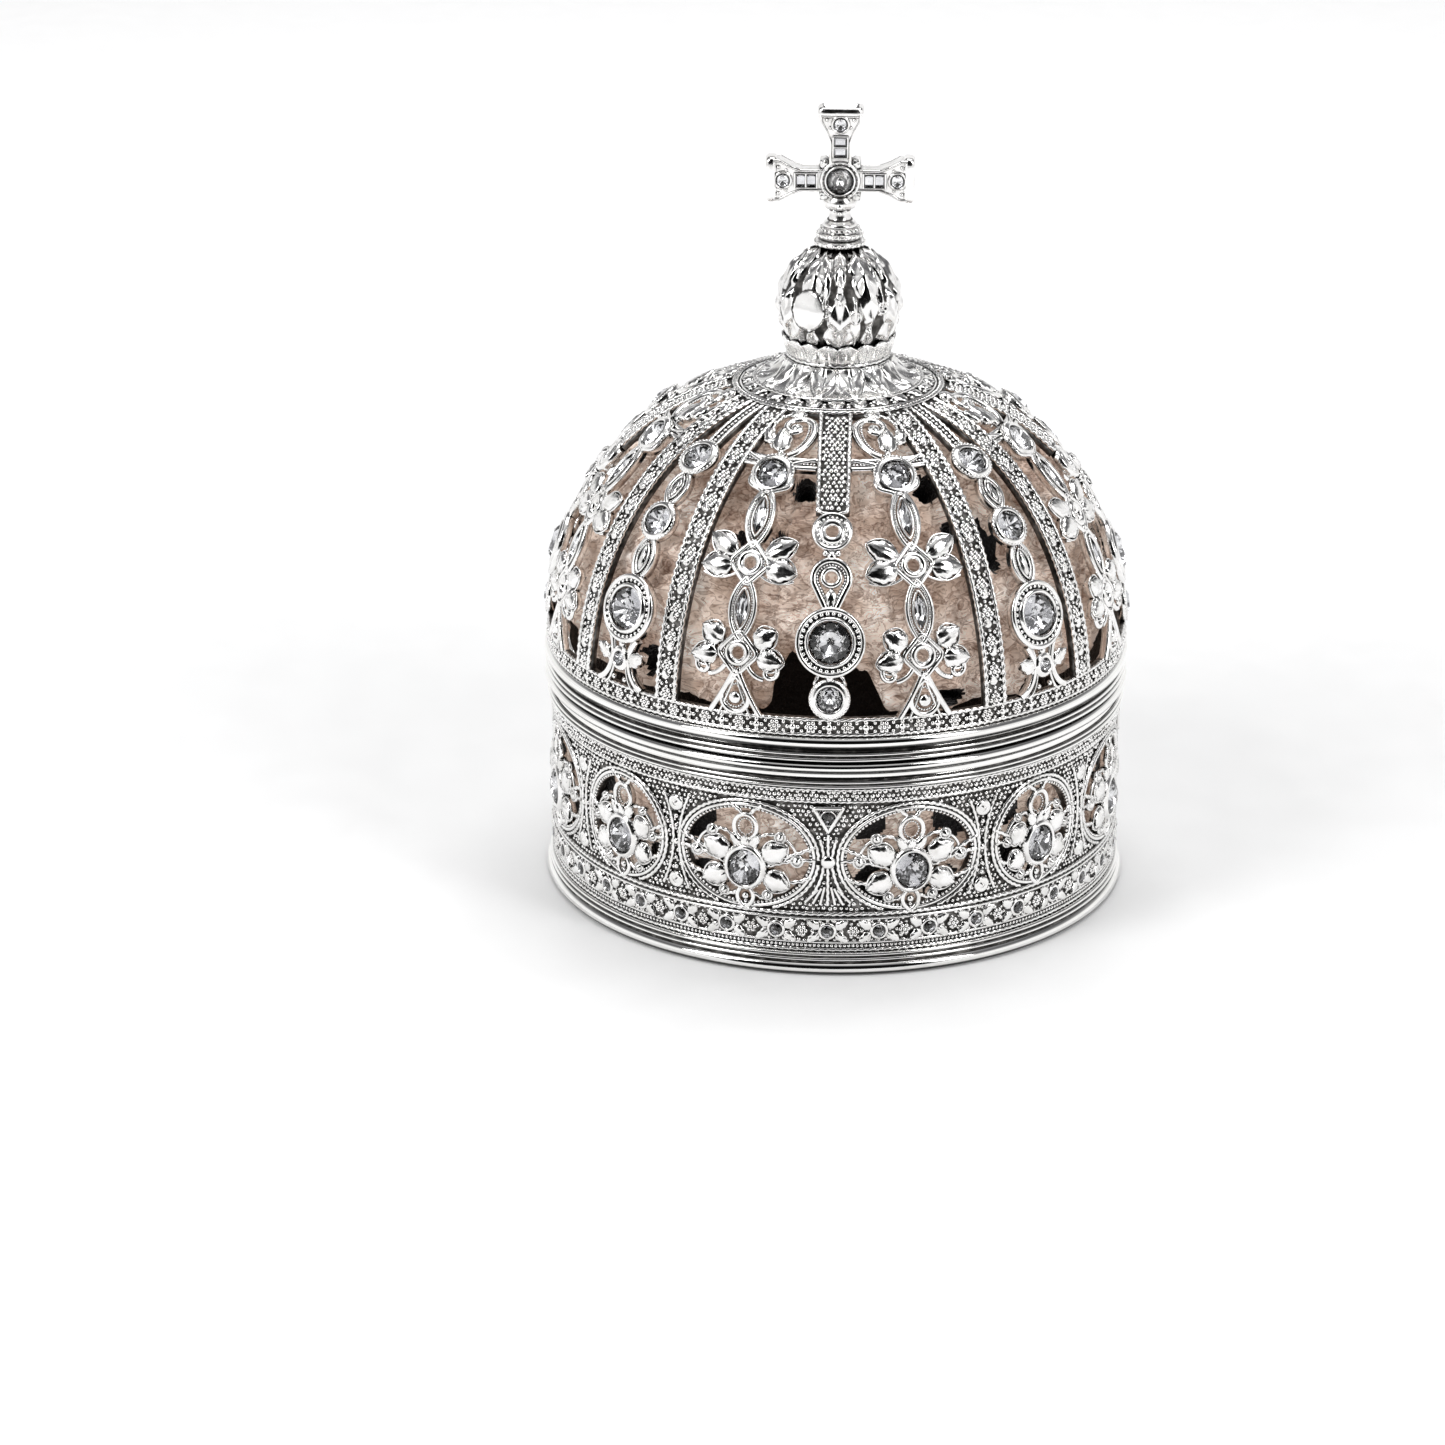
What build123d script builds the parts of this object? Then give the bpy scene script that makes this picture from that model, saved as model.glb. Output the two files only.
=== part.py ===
from build123d import *
import os
from bisect import bisect_left
from math import atan2, cos, hypot, pi, radians, sin, tan

# A round openwork box shaped like a crown: a pierced drum and a pierced domed lid, set with
# clear stones, with an orb and cross on top. The lid lifts off. Lengths are in millimetres,
# the origin is the centre of the underside, and azimuth 0 is the front (-Y), growing
# anticlockwise seen from above, so +90 is +X.

# --- Driving dimensions -------------------------------------------------------------------
RIM_R = 62.0  # widest radius: foot and rim mouldings
WALL_R = 60.0  # outside of the pierced wall panels
WALL_T = 1.6
BAND_R = 60.6  # outside of the granulated bands above and below the panels

FOOT_TOP = 4.8
PANEL_LOW = 13.6
PANEL_HIGH = 37.4
RIM_LOW = 40.8
SEAM = 46.6  # top of the box, where the lid rests
SEAM_GAP = 0.1
FLANGE_TOP = 52.1  # top of the lid's polished flange, where the dome starts

FLOOR_T = 1.4
PAD_T = 4.0
LINING_T = 0.9
LINING_TOP = 40.0

SPIGOT_DEPTH = 4.6
SPIGOT_GAP = 0.35
SPIGOT_T = 1.3
RIM_BORE_R = 58.2

DOME_R = 61.2
DOME_H = 57.5
DOME_BELLY = 0.788  # powers of the dome's outline: under 1 makes its shoulder fuller
DOME_RISE = 1.02
SHELL_T = 1.5
BASE_BAND_S = 4.0  # width of the granulated band round the bottom of the dome
CAP_R = 22.3  # crown cap's edge
DOME_LINING_GAP = 2.4
DOME_LINING_T = 0.8

RIB_W = 5.1
RIB_AZIMUTHS = [quarter + side for quarter in (0, 90, 180, 270) for side in (33, 57)]
QUARTERS = {"front": 0, "right": 90, "back": 180, "left": 270}
CORNER = 45.0
CROSS_OFFSET = 18.2  # azimuth from a gem column to the cross columns beside it

ORB_R = 13.2
ORB_Z = 124.6
ORB_T = 0.8
STUD_R = 1.5
STUD_LOW = 99.0
CROSS_TOP = 166.0
CROSS_ARM_Z = 150.9
CROSS_SPAN = 30.4

FIT = 0.05  # clearance between a stone and its setting, and round the stud


# --- The dome's outline -------------------------------------------------------------------
def dome_outline(t, inset=0.0):
    """Radius and height of the dome at parameter t, 0 at its foot and 1 on the axis."""
    angle = t * pi / 2
    radius = (DOME_R - inset) * max(cos(angle), 0.0) ** DOME_BELLY
    return radius, FLANGE_TOP + (DOME_H - inset) * sin(angle) ** DOME_RISE


def outline_lengths(steps=600):
    """Distance along the outline from the foot, with the parameter it belongs to."""
    lengths = [0.0]
    last = dome_outline(0.0)
    for i in range(1, steps + 1):
        point = dome_outline(i / steps)
        lengths.append(lengths[-1] + hypot(point[0] - last[0], point[1] - last[1]))
        last = point
    return lengths


LENGTHS = outline_lengths()


def on_meridian(s):
    """Radius, height and slope of the dome's surface at distance s up its outline."""
    i = min(max(bisect_left(LENGTHS, s), 1), len(LENGTHS) - 2)
    share = (s - LENGTHS[i - 1]) / (LENGTHS[i] - LENGTHS[i - 1])
    t = (i - 1 + share) / (len(LENGTHS) - 1)
    radius, height = dome_outline(t)
    ahead = dome_outline(t + 0.002)
    behind = dome_outline(max(t - 0.002, 0.0))
    return radius, height, atan2(behind[0] - ahead[0], ahead[1] - behind[1])


def dome_plane(azimuth, s):
    """Tangent plane of the dome: X along the parallel, Y up the meridian, Z outward."""
    radius, height, lean = on_meridian(s)
    a = radians(azimuth)
    outward = (sin(a) * cos(lean), -cos(a) * cos(lean), sin(lean))
    return Plane(
        origin=(radius * sin(a), -radius * cos(a), height),
        x_dir=(cos(a), sin(a), 0),
        z_dir=outward,
    )


def wall_plane(azimuth, height, radius=WALL_R):
    """Tangent plane of the drum: X along the wall, Y up, Z outward."""
    a = radians(azimuth)
    return Plane(
        origin=(radius * sin(a), -radius * cos(a), height),
        x_dir=(cos(a), sin(a), 0),
        z_dir=(sin(a), -cos(a), 0),
    )


# --- General shapes -----------------------------------------------------------------------
def turned(profile):
    """A body of revolution about the vertical axis from a sketch of (radius, height)."""
    return revolve(Plane.XZ * profile, Axis.Z)


def block(inner, outer, low, high):
    """Rectangle between two radii and two heights, as part of a turned profile."""
    width = outer - inner
    height = high - low
    return Pos(inner + width / 2, low + height / 2) * Rectangle(width, height)


def roll(radius, low, high):
    """Round moulding whose outermost point is at radius, between two heights."""
    half = (high - low) / 2
    return Pos(radius - half, low + half) * Circle(half)


def dome_layer(outside, thickness):
    """Shell of the dome between two depths below its surface."""
    outer = [dome_outline(t, outside) for t in DOME_STATIONS]
    inner = [dome_outline(t, outside + thickness) for t in DOME_STATIONS]
    outer_curve = Spline(outer, tangents=[(0, 1), (-1, 0)])
    inner_curve = Spline(inner, tangents=[(0, 1), (-1, 0)])
    edges = outer_curve + inner_curve
    edges += Line(outer[0], inner[0])
    edges += Line(outer[-1], inner[-1])
    return turned(make_face(edges))


DOME_STATIONS = [0, 0.06, 0.14, 0.24, 0.34, 0.44, 0.54, 0.64, 0.74, 0.84, 0.92, 0.97, 1.0]


def slab(low, high, radius=80.0):
    """Everything between two heights, as a cutting tool."""
    return Pos(0, 0, low) * Cylinder(radius, high - low, align=ON_BASE)


ON_BASE = (Align.CENTER, Align.CENTER, Align.MIN)


def meridian_strip(azimuth, width):
    """Upright blade of constant width from the axis outwards at one azimuth."""
    blade = Pos(0, -40, 80) * Box(width, 80, 70)
    return Rot(0, 0, azimuth) * blade


def raised(plane, sketch, low, high):
    """A flat sketch in a plane, made solid between two heights over the plane."""
    return extrude(plane.offset(low) * sketch, amount=high - low)


def fused(pieces):
    """One solid from pieces that overlap."""
    whole = pieces[0]
    for piece in pieces[1:]:
        whole += piece
    return whole


def leaf(length, width):
    """Pointed leaf along Y, from two arcs."""
    half = length / 2
    right = ThreePointArc((0, -half), (width / 2, 0), (0, half))
    left = ThreePointArc((0, half), (-width / 2, 0), (0, -half))
    return make_face(right + left)


# --- Stones and settings ------------------------------------------------------------------
def round_stone(plane, radius):
    """Clear stone with its girdle in the plane: crown and table above, point below."""
    table = radius * 0.58
    crown = radius * 0.3
    depth = radius * 0.62
    outline = [(0, -depth), (radius, -0.1), (radius, 0.1), (table, crown), (0, crown)]
    profile = make_face(Polyline(outline, close=True))
    stone = revolve(Plane.XZ * profile, Axis.Z)
    return plane.location * stone


def leaf_stone(plane, length, width):
    """Pointed oval stone with its girdle in the plane."""
    crown = width * 0.14
    pavilion = width * 0.2
    upper = extrude(plane * leaf(length, width), amount=crown, taper=30)
    lower = extrude(plane * leaf(length, width), amount=-pavilion, taper=30)
    return upper + lower


def setting(plane, outer, stone_radius, low, high, girdle):
    """Collet for a round stone: a tube with a ledge just under the stone's girdle."""
    ledge = 0.45
    bore = stone_radius + FIT
    tube = raised(plane, Circle(outer), low, high)
    tube -= raised(plane, Circle(bore), girdle - ledge, high + 1)
    return tube - raised(plane, Circle(bore - 0.5), low - 1, high)


# --- Box: the drum ------------------------------------------------------------------------
def floor_plate():
    return Pos(0, 0, FOOT_TOP - FLOOR_T) * Cylinder(WALL_R - WALL_T - FIT, FLOOR_T, align=ON_BASE)


def floor_pad():
    radius = WALL_R - WALL_T - LINING_T - 0.5
    pad = Pos(0, 0, FOOT_TOP + 0.02) * Cylinder(radius, PAD_T, align=ON_BASE)
    return fillet(pad.edges().group_by(Axis.Z)[-1], 1.2)


def wall_lining():
    outer = WALL_R - WALL_T - 0.25
    return turned(block(outer - LINING_T, outer, FOOT_TOP + 0.02, LINING_TOP))


def foot_ring():
    """Polished foot with a rounded toe and two fine fillets on top, bored for the floor."""
    inner = WALL_R - WALL_T
    profile = block(inner, RIM_R - 1.2, 0, FOOT_TOP)
    profile += roll(RIM_R, 0, 2.8)
    profile += roll(RIM_R - 0.6, 2.9, 3.8)
    profile += roll(RIM_R - 0.8, 3.9, FOOT_TOP)
    return turned(profile)


def lower_band():
    """Granulated band over the foot, with drilled seats for its small stones."""
    band = turned(block(WALL_R - WALL_T, BAND_R, FOOT_TOP, PANEL_LOW))
    for azimuth in LOWER_BAND_AZIMUTHS:
        plane = wall_plane(azimuth, LOWER_BAND_STONE_Z, BAND_R)
        band -= raised(plane, Circle(BAND_STONE_R + FIT), -1.2, 1)
    return band


LOWER_BAND_STONE_Z = 9.4
BAND_STONE_R = 1.3
BAND_STONES = 36
LOWER_BAND_AZIMUTHS = [i * 360 / BAND_STONES for i in range(BAND_STONES)]


def upper_band():
    return turned(block(WALL_R - WALL_T, BAND_R, PANEL_HIGH, RIM_LOW))


def box_rim():
    """Rim of the box: a fillet, a hollow band and a thick polished bead, then the seat."""
    profile = block(RIM_BORE_R, RIM_R - 1.2, RIM_LOW, SEAM)
    profile += roll(RIM_R - 0.6, RIM_LOW, RIM_LOW + 0.9)
    profile += roll(RIM_R - 0.7, RIM_LOW + 1.0, RIM_LOW + 1.8)
    profile += roll(RIM_R, SEAM - 2.2, SEAM - 0.2)
    profile -= Pos(RIM_R - 0.6, RIM_LOW + 2.7) * Circle(0.85)
    return turned(profile)


ROUNDEL_Z = 24.9
ROUNDEL_AZIMUTH = 16.2
ROUNDEL_W = 27.8
CORNER_ROUNDEL_W = 21.6
ROUNDEL_H = 21.6


def roundel_opening(azimuth, width):
    plane = wall_plane(azimuth, ROUNDEL_Z)
    return raised(plane, Ellipse(width / 2, ROUNDEL_H / 2), -6, 6)


def spindle_stone_plane(azimuth):
    return wall_plane(azimuth, SPINDLE_STONE_Z)


SPINDLE_STONE_Z = 34.2
SPINDLE_STONE_R = 1.5


def wall_panel(azimuth):
    """Quarter of the pierced wall, centred on azimuth: two roundels and two half corner ones."""
    panel = turned(block(WALL_R - WALL_T, WALL_R, PANEL_LOW, PANEL_HIGH))
    quarter = Rot(0, 0, azimuth - CORNER) * quarter_wedge()
    panel &= quarter
    for side in (-1, 1):
        panel -= roundel_opening(azimuth + side * ROUNDEL_AZIMUTH, ROUNDEL_W)
        panel -= roundel_opening(azimuth + side * CORNER, CORNER_ROUNDEL_W)
    seat = Circle(SPINDLE_STONE_R + FIT)
    return panel - raised(spindle_stone_plane(azimuth), seat, -1.2, 2)


def quarter_wedge():
    """A quarter of the space round the axis, from the front towards +X."""
    return Box(90, 90, 90, align=(Align.MIN, Align.MAX, Align.MIN))


ROSETTE_DROP = -2.4  # the stone sits a little below the roundel's centre
ROSETTE_STONE_R = 3.5
ROSETTE_SETTING_R = 4.6
APPLIQUE_T = 0.9


def rosette_outline(width):
    """Flat outline of a rosette: arms that reach the wall on four sides, and petals."""
    half_w = width / 2
    half_h = ROUNDEL_H / 2
    arm = half_w + 1.4
    shape = Pos(0, ROSETTE_DROP) * Circle(ROSETTE_SETTING_R + 0.3)
    for side in (-1, 1):
        shape += Pos(side * arm / 2, ROSETTE_DROP / 2) * Rot(0, 0, 90) * leaf(arm, 3.6)
        for lift in (35, -35):
            petal = Pos(half_w * 0.42, 0) * Rot(0, 0, 90) * leaf(half_w * 0.62, 4.2)
            turn = lift if side > 0 else 180 - lift
            shape += Pos(0, ROSETTE_DROP) * Rot(0, 0, turn) * petal
    top = half_h + 1.2 - ROSETTE_DROP
    shape += Pos(0, ROSETTE_DROP + top / 2) * leaf(top, 4.4)
    bottom = half_h + 1.2 + ROSETTE_DROP
    shape += Pos(0, ROSETTE_DROP - bottom / 2) * leaf(bottom, 4.0)
    return shape - Pos(0, half_h * 0.62) * RegularPolygon(1.1, 3, rotation=90)


def rosette(azimuth, width):
    """Rosette laid on the outside of the wall over one roundel, with a stone setting."""
    layer = turned(block(WALL_R, WALL_R + APPLIQUE_T, PANEL_LOW, PANEL_HIGH))
    applique = layer & raised(wall_plane(azimuth, ROUNDEL_Z), rosette_outline(width), -8, 4)
    plane = rosette_stone_plane(azimuth)
    bored = applique - raised(plane, Circle(ROSETTE_SETTING_R - 0.3), -3, 3)
    return bored + setting(plane, ROSETTE_SETTING_R, ROSETTE_STONE_R, 0.0, 1.45, 0.75)


def rosette_stone_plane(azimuth):
    return wall_plane(azimuth, ROUNDEL_Z + ROSETTE_DROP)


def each_quarter(make, *offsets):
    """The same piece at the given azimuths from the middle of every quarter."""
    return [make(quarter + offset) for quarter in QUARTERS.values() for offset in offsets]


# --- Lid: rim and dome --------------------------------------------------------------------
def lid_rim():
    """Two fine beads, a groove and a polished flange that carries the dome."""
    low = SEAM + SEAM_GAP
    profile = block(RIM_BORE_R + FIT, RIM_R - 1.2, low, FLANGE_TOP)
    profile += roll(RIM_R - 0.3, low, low + 1.0)
    profile += roll(RIM_R - 0.5, low + 1.2, low + 2.0)
    profile += Pos(RIM_R - 1.2, FLANGE_TOP - 1.35) * Ellipse(1.2, 1.25)
    return turned(profile)


def lid_spigot():
    outer = RIM_BORE_R - SPIGOT_GAP
    low = SEAM - SPIGOT_DEPTH
    profile = block(outer - SPIGOT_T, outer, low, FLANGE_TOP)
    profile += block(outer, RIM_BORE_R + FIT, SEAM + SEAM_GAP, FLANGE_TOP)
    return turned(profile)


DOME_SHELL = dome_layer(0, SHELL_T)
BAND_TOP = on_meridian(BASE_BAND_S)[1]
STRIP_ZONE = DOME_SHELL & slab(BAND_TOP, 130)
STRIP_ZONE -= Cylinder(CAP_R + 0.02, 300)


def dome_base_band():
    return DOME_SHELL & slab(FLANGE_TOP, BAND_TOP)


def rib(azimuth):
    return STRIP_ZONE & meridian_strip(azimuth, RIB_W)


def crown_cap():
    """Disc of the dome's shell under the finial, drilled for the stud."""
    cap = DOME_SHELL & Cylinder(CAP_R, 300)
    return cap - Cylinder(STUD_R + FIT, 300)


def above(s):
    """Everything higher than the circle at distance s up the dome."""
    return slab(on_meridian(s)[1], 130)


GEM_BAND_W = 6.8
GEM_BAND_END = 45.7
BIG_SETTING_R = 7.1
BIG_STONE_R = 4.4
GEM_BIG_S = 19.4
GEM_SMALL_S = 8.0
SMALL_SETTING_R = 4.2
SMALL_STONE_R = 2.7
ORNAMENT_LOW = -1.3
ORNAMENT_HIGH = 0.45


def pierced_ring(azimuth, s, outer, hole, low=ORNAMENT_LOW, high=ORNAMENT_HIGH):
    return raised(dome_plane(azimuth, s), Circle(outer) - Circle(hole), low, high)


def link(azimuth, s_low, s_high, width):
    """Short bar up the meridian between two distances."""
    plane = dome_plane(azimuth, (s_low + s_high) / 2)
    return raised(plane, Rectangle(width, s_high - s_low), ORNAMENT_LOW, 0.1)


def dome_setting(azimuth, s, outer, stone_radius, height=1.0):
    return setting(dome_plane(azimuth, s), outer, stone_radius, ORNAMENT_LOW, height, 0.35)


def gem_column(azimuth):
    """Front, back and side columns: a flat band, two pierced drops and two stone settings."""
    band = STRIP_ZONE & meridian_strip(azimuth, GEM_BAND_W) & above(GEM_BAND_END)
    drop = dome_plane(azimuth, 32.0)
    pendant = Circle(4.0) + Pos(0, -3.2) * leaf(8.4, 5.6) - Circle(1.1)
    pieces = [
        band,
        pierced_ring(azimuth, 41.9, 4.3, 1.3),
        link(azimuth, 34.9, 38.6, 3.0),
        raised(drop, pendant, ORNAMENT_LOW, ORNAMENT_HIGH),
        link(azimuth, 24.9, 27.2, 1.6),
        dome_setting(azimuth, GEM_BIG_S, BIG_SETTING_R, BIG_STONE_R, 1.3),
        link(azimuth, 11.4, 13.5, 3.0),
        dome_setting(azimuth, GEM_SMALL_S, SMALL_SETTING_R, SMALL_STONE_R, 0.75),
    ]
    return fused(pieces) & above(BASE_BAND_S)


CROSS_TOP_S = 53.9
CROSS_SETTING_R = 4.35
CROSS_STONE_R = 3.1
UPPER_FOIL_S = 34.3
LOWER_FOIL_S = 16.1
UPPER_LEAF = (37.4, 50.8)
LOWER_LEAF = (18.6, 31.4)
LEAF_W = 5.2
BAR_S = (55.8, 58.7)


def quatrefoil(azimuth, s, spread):
    """Diamond frame with a pierced ring and two petals on each side."""
    frame = Rot(0, 0, 45) * Rectangle(6.6, 6.6)
    shape = frame + Circle(3.4)
    for side in (-1, 1):
        for lift in (-16, 22):
            petal = Pos(spread * 0.62, 0) * Rot(0, 0, 90) * leaf(spread * 0.78, 4.0)
            turn = lift if side > 0 else 180 - lift
            shape += Rot(0, 0, turn) * petal
    return raised(dome_plane(azimuth, s), shape - Circle(1.2), ORNAMENT_LOW, ORNAMENT_HIGH)


def open_leaf(azimuth, ends):
    """Leaf-shaped frame for a pointed stone, up the meridian between two distances."""
    length = ends[1] - ends[0]
    shape = leaf(length, LEAF_W) - leaf(length * 0.62, LEAF_W * 0.52)
    plane = dome_plane(azimuth, (ends[0] + ends[1]) / 2)
    return raised(plane, shape, ORNAMENT_LOW, ORNAMENT_HIGH)


def legs(azimuth, apex_s, half_span):
    """Two slanting bars from an apex down to the base band, with a ring between them."""
    middle = (apex_s + BASE_BAND_S - 0.6) / 2
    height = apex_s - BASE_BAND_S + 0.6
    length = hypot(height, half_span)
    shape = Sketch()
    for side in (-1, 1):
        tilt = side * atan2(half_span, height) * 180 / pi
        shape += Pos(side * half_span / 2, 0) * Rot(0, 0, tilt) * Rectangle(1.3, length)
    shape += Pos(0, -height * 0.17) * (Circle(2.6) - Circle(1.2))
    return raised(dome_plane(azimuth, middle), shape, ORNAMENT_LOW, ORNAMENT_HIGH)


def crossbar(azimuth, side):
    """Arc at the top of a window from the gem band's edge to the rib's edge."""
    low, high = (on_meridian(s)[1] for s in BAR_S)
    centre = azimuth - side * CROSS_OFFSET
    rib_azimuth = centre + side * 33
    ring = DOME_SHELL & slab(low, high)
    window = Rot(0, 0, centre if side > 0 else centre - 33) * wedge(33)
    arc = ring & window
    arc -= meridian_strip(centre, GEM_BAND_W + 0.04)
    return arc - meridian_strip(rib_azimuth, RIB_W + 0.04)


def wedge(angle):
    """Sector of space from the front round to the given azimuth."""
    reach = 90.0
    far = (reach * sin(radians(angle)), -reach * cos(radians(angle)))
    corner = (reach * tan(radians(angle / 2)), -reach)
    sector = make_face(Polyline([(0, 0), (0, -reach), corner, far], close=True))
    return Pos(0, 0, 40) * extrude(sector, amount=90)


def cross_column(azimuth, side):
    """Openwork cross in a window: settings, leaves and quatrefoils on splayed legs."""
    pieces = [
        dome_setting(azimuth, CROSS_TOP_S, CROSS_SETTING_R, CROSS_STONE_R),
        link(azimuth, 57.8, 63.4, 2.4),
        open_leaf(azimuth, UPPER_LEAF),
        quatrefoil(azimuth, UPPER_FOIL_S, 9.6),
        open_leaf(azimuth, LOWER_LEAF),
        quatrefoil(azimuth, LOWER_FOIL_S, 9.8),
        legs(azimuth, 12.8, 4.6),
    ]
    bore = raised(dome_plane(azimuth, CROSS_TOP_S), Circle(CROSS_SETTING_R - 0.2), -4, 4)
    pieces.append(crossbar(azimuth, side) - bore)
    return fused(pieces) & above(BASE_BAND_S)


CORNER_TOP_S = 54.2
CORNER_MID_S = 38.6
CORNER_BIG_S = 19.8
CORNER_SMALL_S = 9.4
CORNER_SMALL_R = 1.5


def corner_column(azimuth):
    """Narrower column between a pair of ribs: three settings, leaves and splayed legs."""
    strap = STRIP_ZONE & meridian_strip(azimuth, 3.0) & above(57.5)
    pieces = [
        strap,
        dome_setting(azimuth, CORNER_TOP_S, 4.55, CROSS_STONE_R),
        open_leaf(azimuth, (42.2, 50.6)),
        dome_setting(azimuth, CORNER_MID_S, CROSS_SETTING_R, CROSS_STONE_R),
        open_leaf(azimuth, (25.6, 35.4)),
        dome_setting(azimuth, CORNER_BIG_S, BIG_SETTING_R, BIG_STONE_R, 1.3),
        dome_setting(azimuth, CORNER_SMALL_S, 2.6, CORNER_SMALL_R, 0.8),
        link(azimuth, 11.2, 13.6, 2.4),
    ]
    feet = Sketch()
    for side in (-1, 1):
        feet += Pos(side * 3.3, 0) * Rot(0, 0, side * 38) * Rectangle(1.3, 9.4)
    pieces.append(raised(dome_plane(azimuth, 7.0), feet, ORNAMENT_LOW, ORNAMENT_HIGH))
    ring = Circle(2.5) - Circle(CORNER_SMALL_R + FIT)
    pieces.append(raised(dome_plane(azimuth, CORNER_SMALL_S), ring, -1.0, 0.2))
    return fused(pieces) & above(BASE_BAND_S)


SCROLL_S = 68.2
SCROLL_AZIMUTH = 18.2


def scroll_leaf(azimuth):
    """Curled leaf between the crown cap and the crossbar, beside a gem band."""
    curl = Circle(4.1) - Circle(1.3)
    curl += Pos(0, 5.2) * Rectangle(4.6, 3.4)
    return raised(dome_plane(azimuth, SCROLL_S), curl, -1.2, 0.4) - Cylinder(CAP_R + 0.1, 300)


def dome_lining():
    """Soft lining of the lid just inside the openwork, open at the bottom and the top."""
    lining = dome_layer(DOME_LINING_GAP, DOME_LINING_T)
    lining &= slab(FLANGE_TOP + 0.6, 140)
    return lining - Cylinder(8.0, 300)


# --- Lid: finial --------------------------------------------------------------------------
CAP_TOP = FLANGE_TOP + DOME_H


def petal_collar():
    """Flared foot of the orb, with a waist and a leafy cup that holds the orb."""
    foot = CAP_TOP + 0.05
    low_curve = Polyline([(17.6, foot - 1.2), (17.6, foot - 0.6)])
    sweep_in = ThreePointArc((17.6, foot - 0.6), (12.2, foot + 1.3), (10.3, foot + 4.4))
    cup = Polyline([(10.3, foot + 4.4), (12.3, foot + 8.9), (11.4, foot + 8.9), (7.5, foot + 4.4)])
    cup += Polyline([(7.5, foot + 4.4), (6.0, foot + 1.0), (2.2, foot + 1.0)])
    base = Polyline([(2.2, foot + 1.0), (2.2, foot), (6.0, foot), (17.6, foot - 1.2)])
    collar = turned(make_face(low_curve + sweep_in + cup + base))
    collar -= DOME_SOLID
    return collar - Pos(0, 0, ORB_Z) * Sphere(ORB_R + 0.02)


def dome_solid():
    """The whole inside of the dome's outline, as a cutting tool."""
    outer = [dome_outline(t) for t in DOME_STATIONS]
    curve = Spline(outer, tangents=[(0, 1), (-1, 0)])
    edges = curve + Line(outer[-1], (0, FLANGE_TOP)) + Line((0, FLANGE_TOP), outer[0])
    return turned(make_face(edges))


DOME_SOLID = dome_solid()


def orb_shell():
    sphere = Sphere(ORB_R) - Sphere(ORB_R - ORB_T)
    return Pos(0, 0, ORB_Z) * sphere - Pos(0, 0, ORB_Z) * Cylinder(STUD_R + FIT, 60)


def orb_lower():
    return orb_shell() & slab(ORB_Z - 20, ORB_Z)


def orb_upper():
    return orb_shell() & slab(ORB_Z, ORB_Z + 20)


def neck_collar():
    low = ORB_Z + ORB_R - 1.0
    profile = block(STUD_R + FIT, 4.2, low, low + 4.2)
    profile += roll(5.1, low, low + 1.6)
    profile += roll(4.7, low + 2.0, low + 3.2)
    return turned(profile) - Pos(0, 0, ORB_Z) * Sphere(ORB_R + 0.01)


NECK_TOP = ORB_Z + ORB_R + 3.2


ARM_W = 4.6
ARM_DEPTH = 2.2  # half of the arms' thickness
ARM_MOUTH = 8.8
LIP_W = 9.4
CHANNEL_W = 2.9
CHANNEL_DEPTH = 0.9


def flared_arm(length):
    """Flat arm up the Z axis: a bar that flares to a wide end with a rounded lip."""
    root = ARM_W / 2
    mouth = ARM_MOUTH / 2
    right = [(root, 0), (root, 8.6), (3.0, 10.8), (mouth, 13.4), (mouth, length - 0.7)]
    left = [(-x, z) for x, z in reversed(right)]
    outline = make_face(Polyline(right + left, close=True))
    arm = extrude(Plane.XZ * outline, amount=ARM_DEPTH, both=True)
    lip = Pos(0, 0, length - 0.75) * Box(LIP_W, 2 * ARM_DEPTH + 0.8, 1.5)
    return arm + fillet(lip.edges(), 0.6)


def cross():
    """Flat cross with flared arms, a central boss, and seats for stones on both faces."""
    centre = Pos(0, 0, CROSS_ARM_Z)
    whole = centre * flared_arm(CROSS_TOP - CROSS_ARM_Z)
    for turn in (90, -90):
        whole += centre * Rot(0, turn, 0) * flared_arm(CROSS_SPAN / 2)
    stem = ThreePointArc((2.5, CROSS_ARM_Z - 3), (3.6, CROSS_ARM_Z - 4.6), (2.2, NECK_TOP + 3))
    outline = Polyline([(0, CROSS_ARM_Z), (2.5, CROSS_ARM_Z), (2.5, CROSS_ARM_Z - 3)]) + stem
    outline += Polyline([(2.2, NECK_TOP + 3), (3.6, NECK_TOP), (0, NECK_TOP), (0, CROSS_ARM_Z)])
    whole += turned(make_face(outline))
    whole += centre * Rot(90, 0, 0) * Cylinder(4.2, 6.0)
    whole -= Pos(0, 0, NECK_TOP - 1) * Cylinder(STUD_R + FIT, 5.0, align=ON_BASE)
    for face in (-1, 1):
        whole -= centre * Pos(0, face * 2.9, 0) * Rot(90, 0, 0) * Cylinder(2.8 + FIT, 2.0)
        for x, z, w, h in CHANNELS:
            pocket = Box(w, 2 * CHANNEL_DEPTH, h)
            whole -= centre * Pos(x, face * ARM_DEPTH, z) * pocket
        for x, z in FLARE_SEATS:
            bore = Rot(90, 0, 0) * Cylinder(FLARE_STONE_R + FIT, 2 * CHANNEL_DEPTH)
            whole -= centre * Pos(x, face * ARM_DEPTH, z) * bore
    return whole


CHANNELS = [
    (-7.0, 0, 4.2, CHANNEL_W),
    (7.0, 0, 4.2, CHANNEL_W),
    (0, 7.0, CHANNEL_W, 4.2),
]
FLARE_SEATS = [(-11.7, 0), (11.7, 0), (0, 11.7)]
FLARE_STONE_R = 1.4


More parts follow.
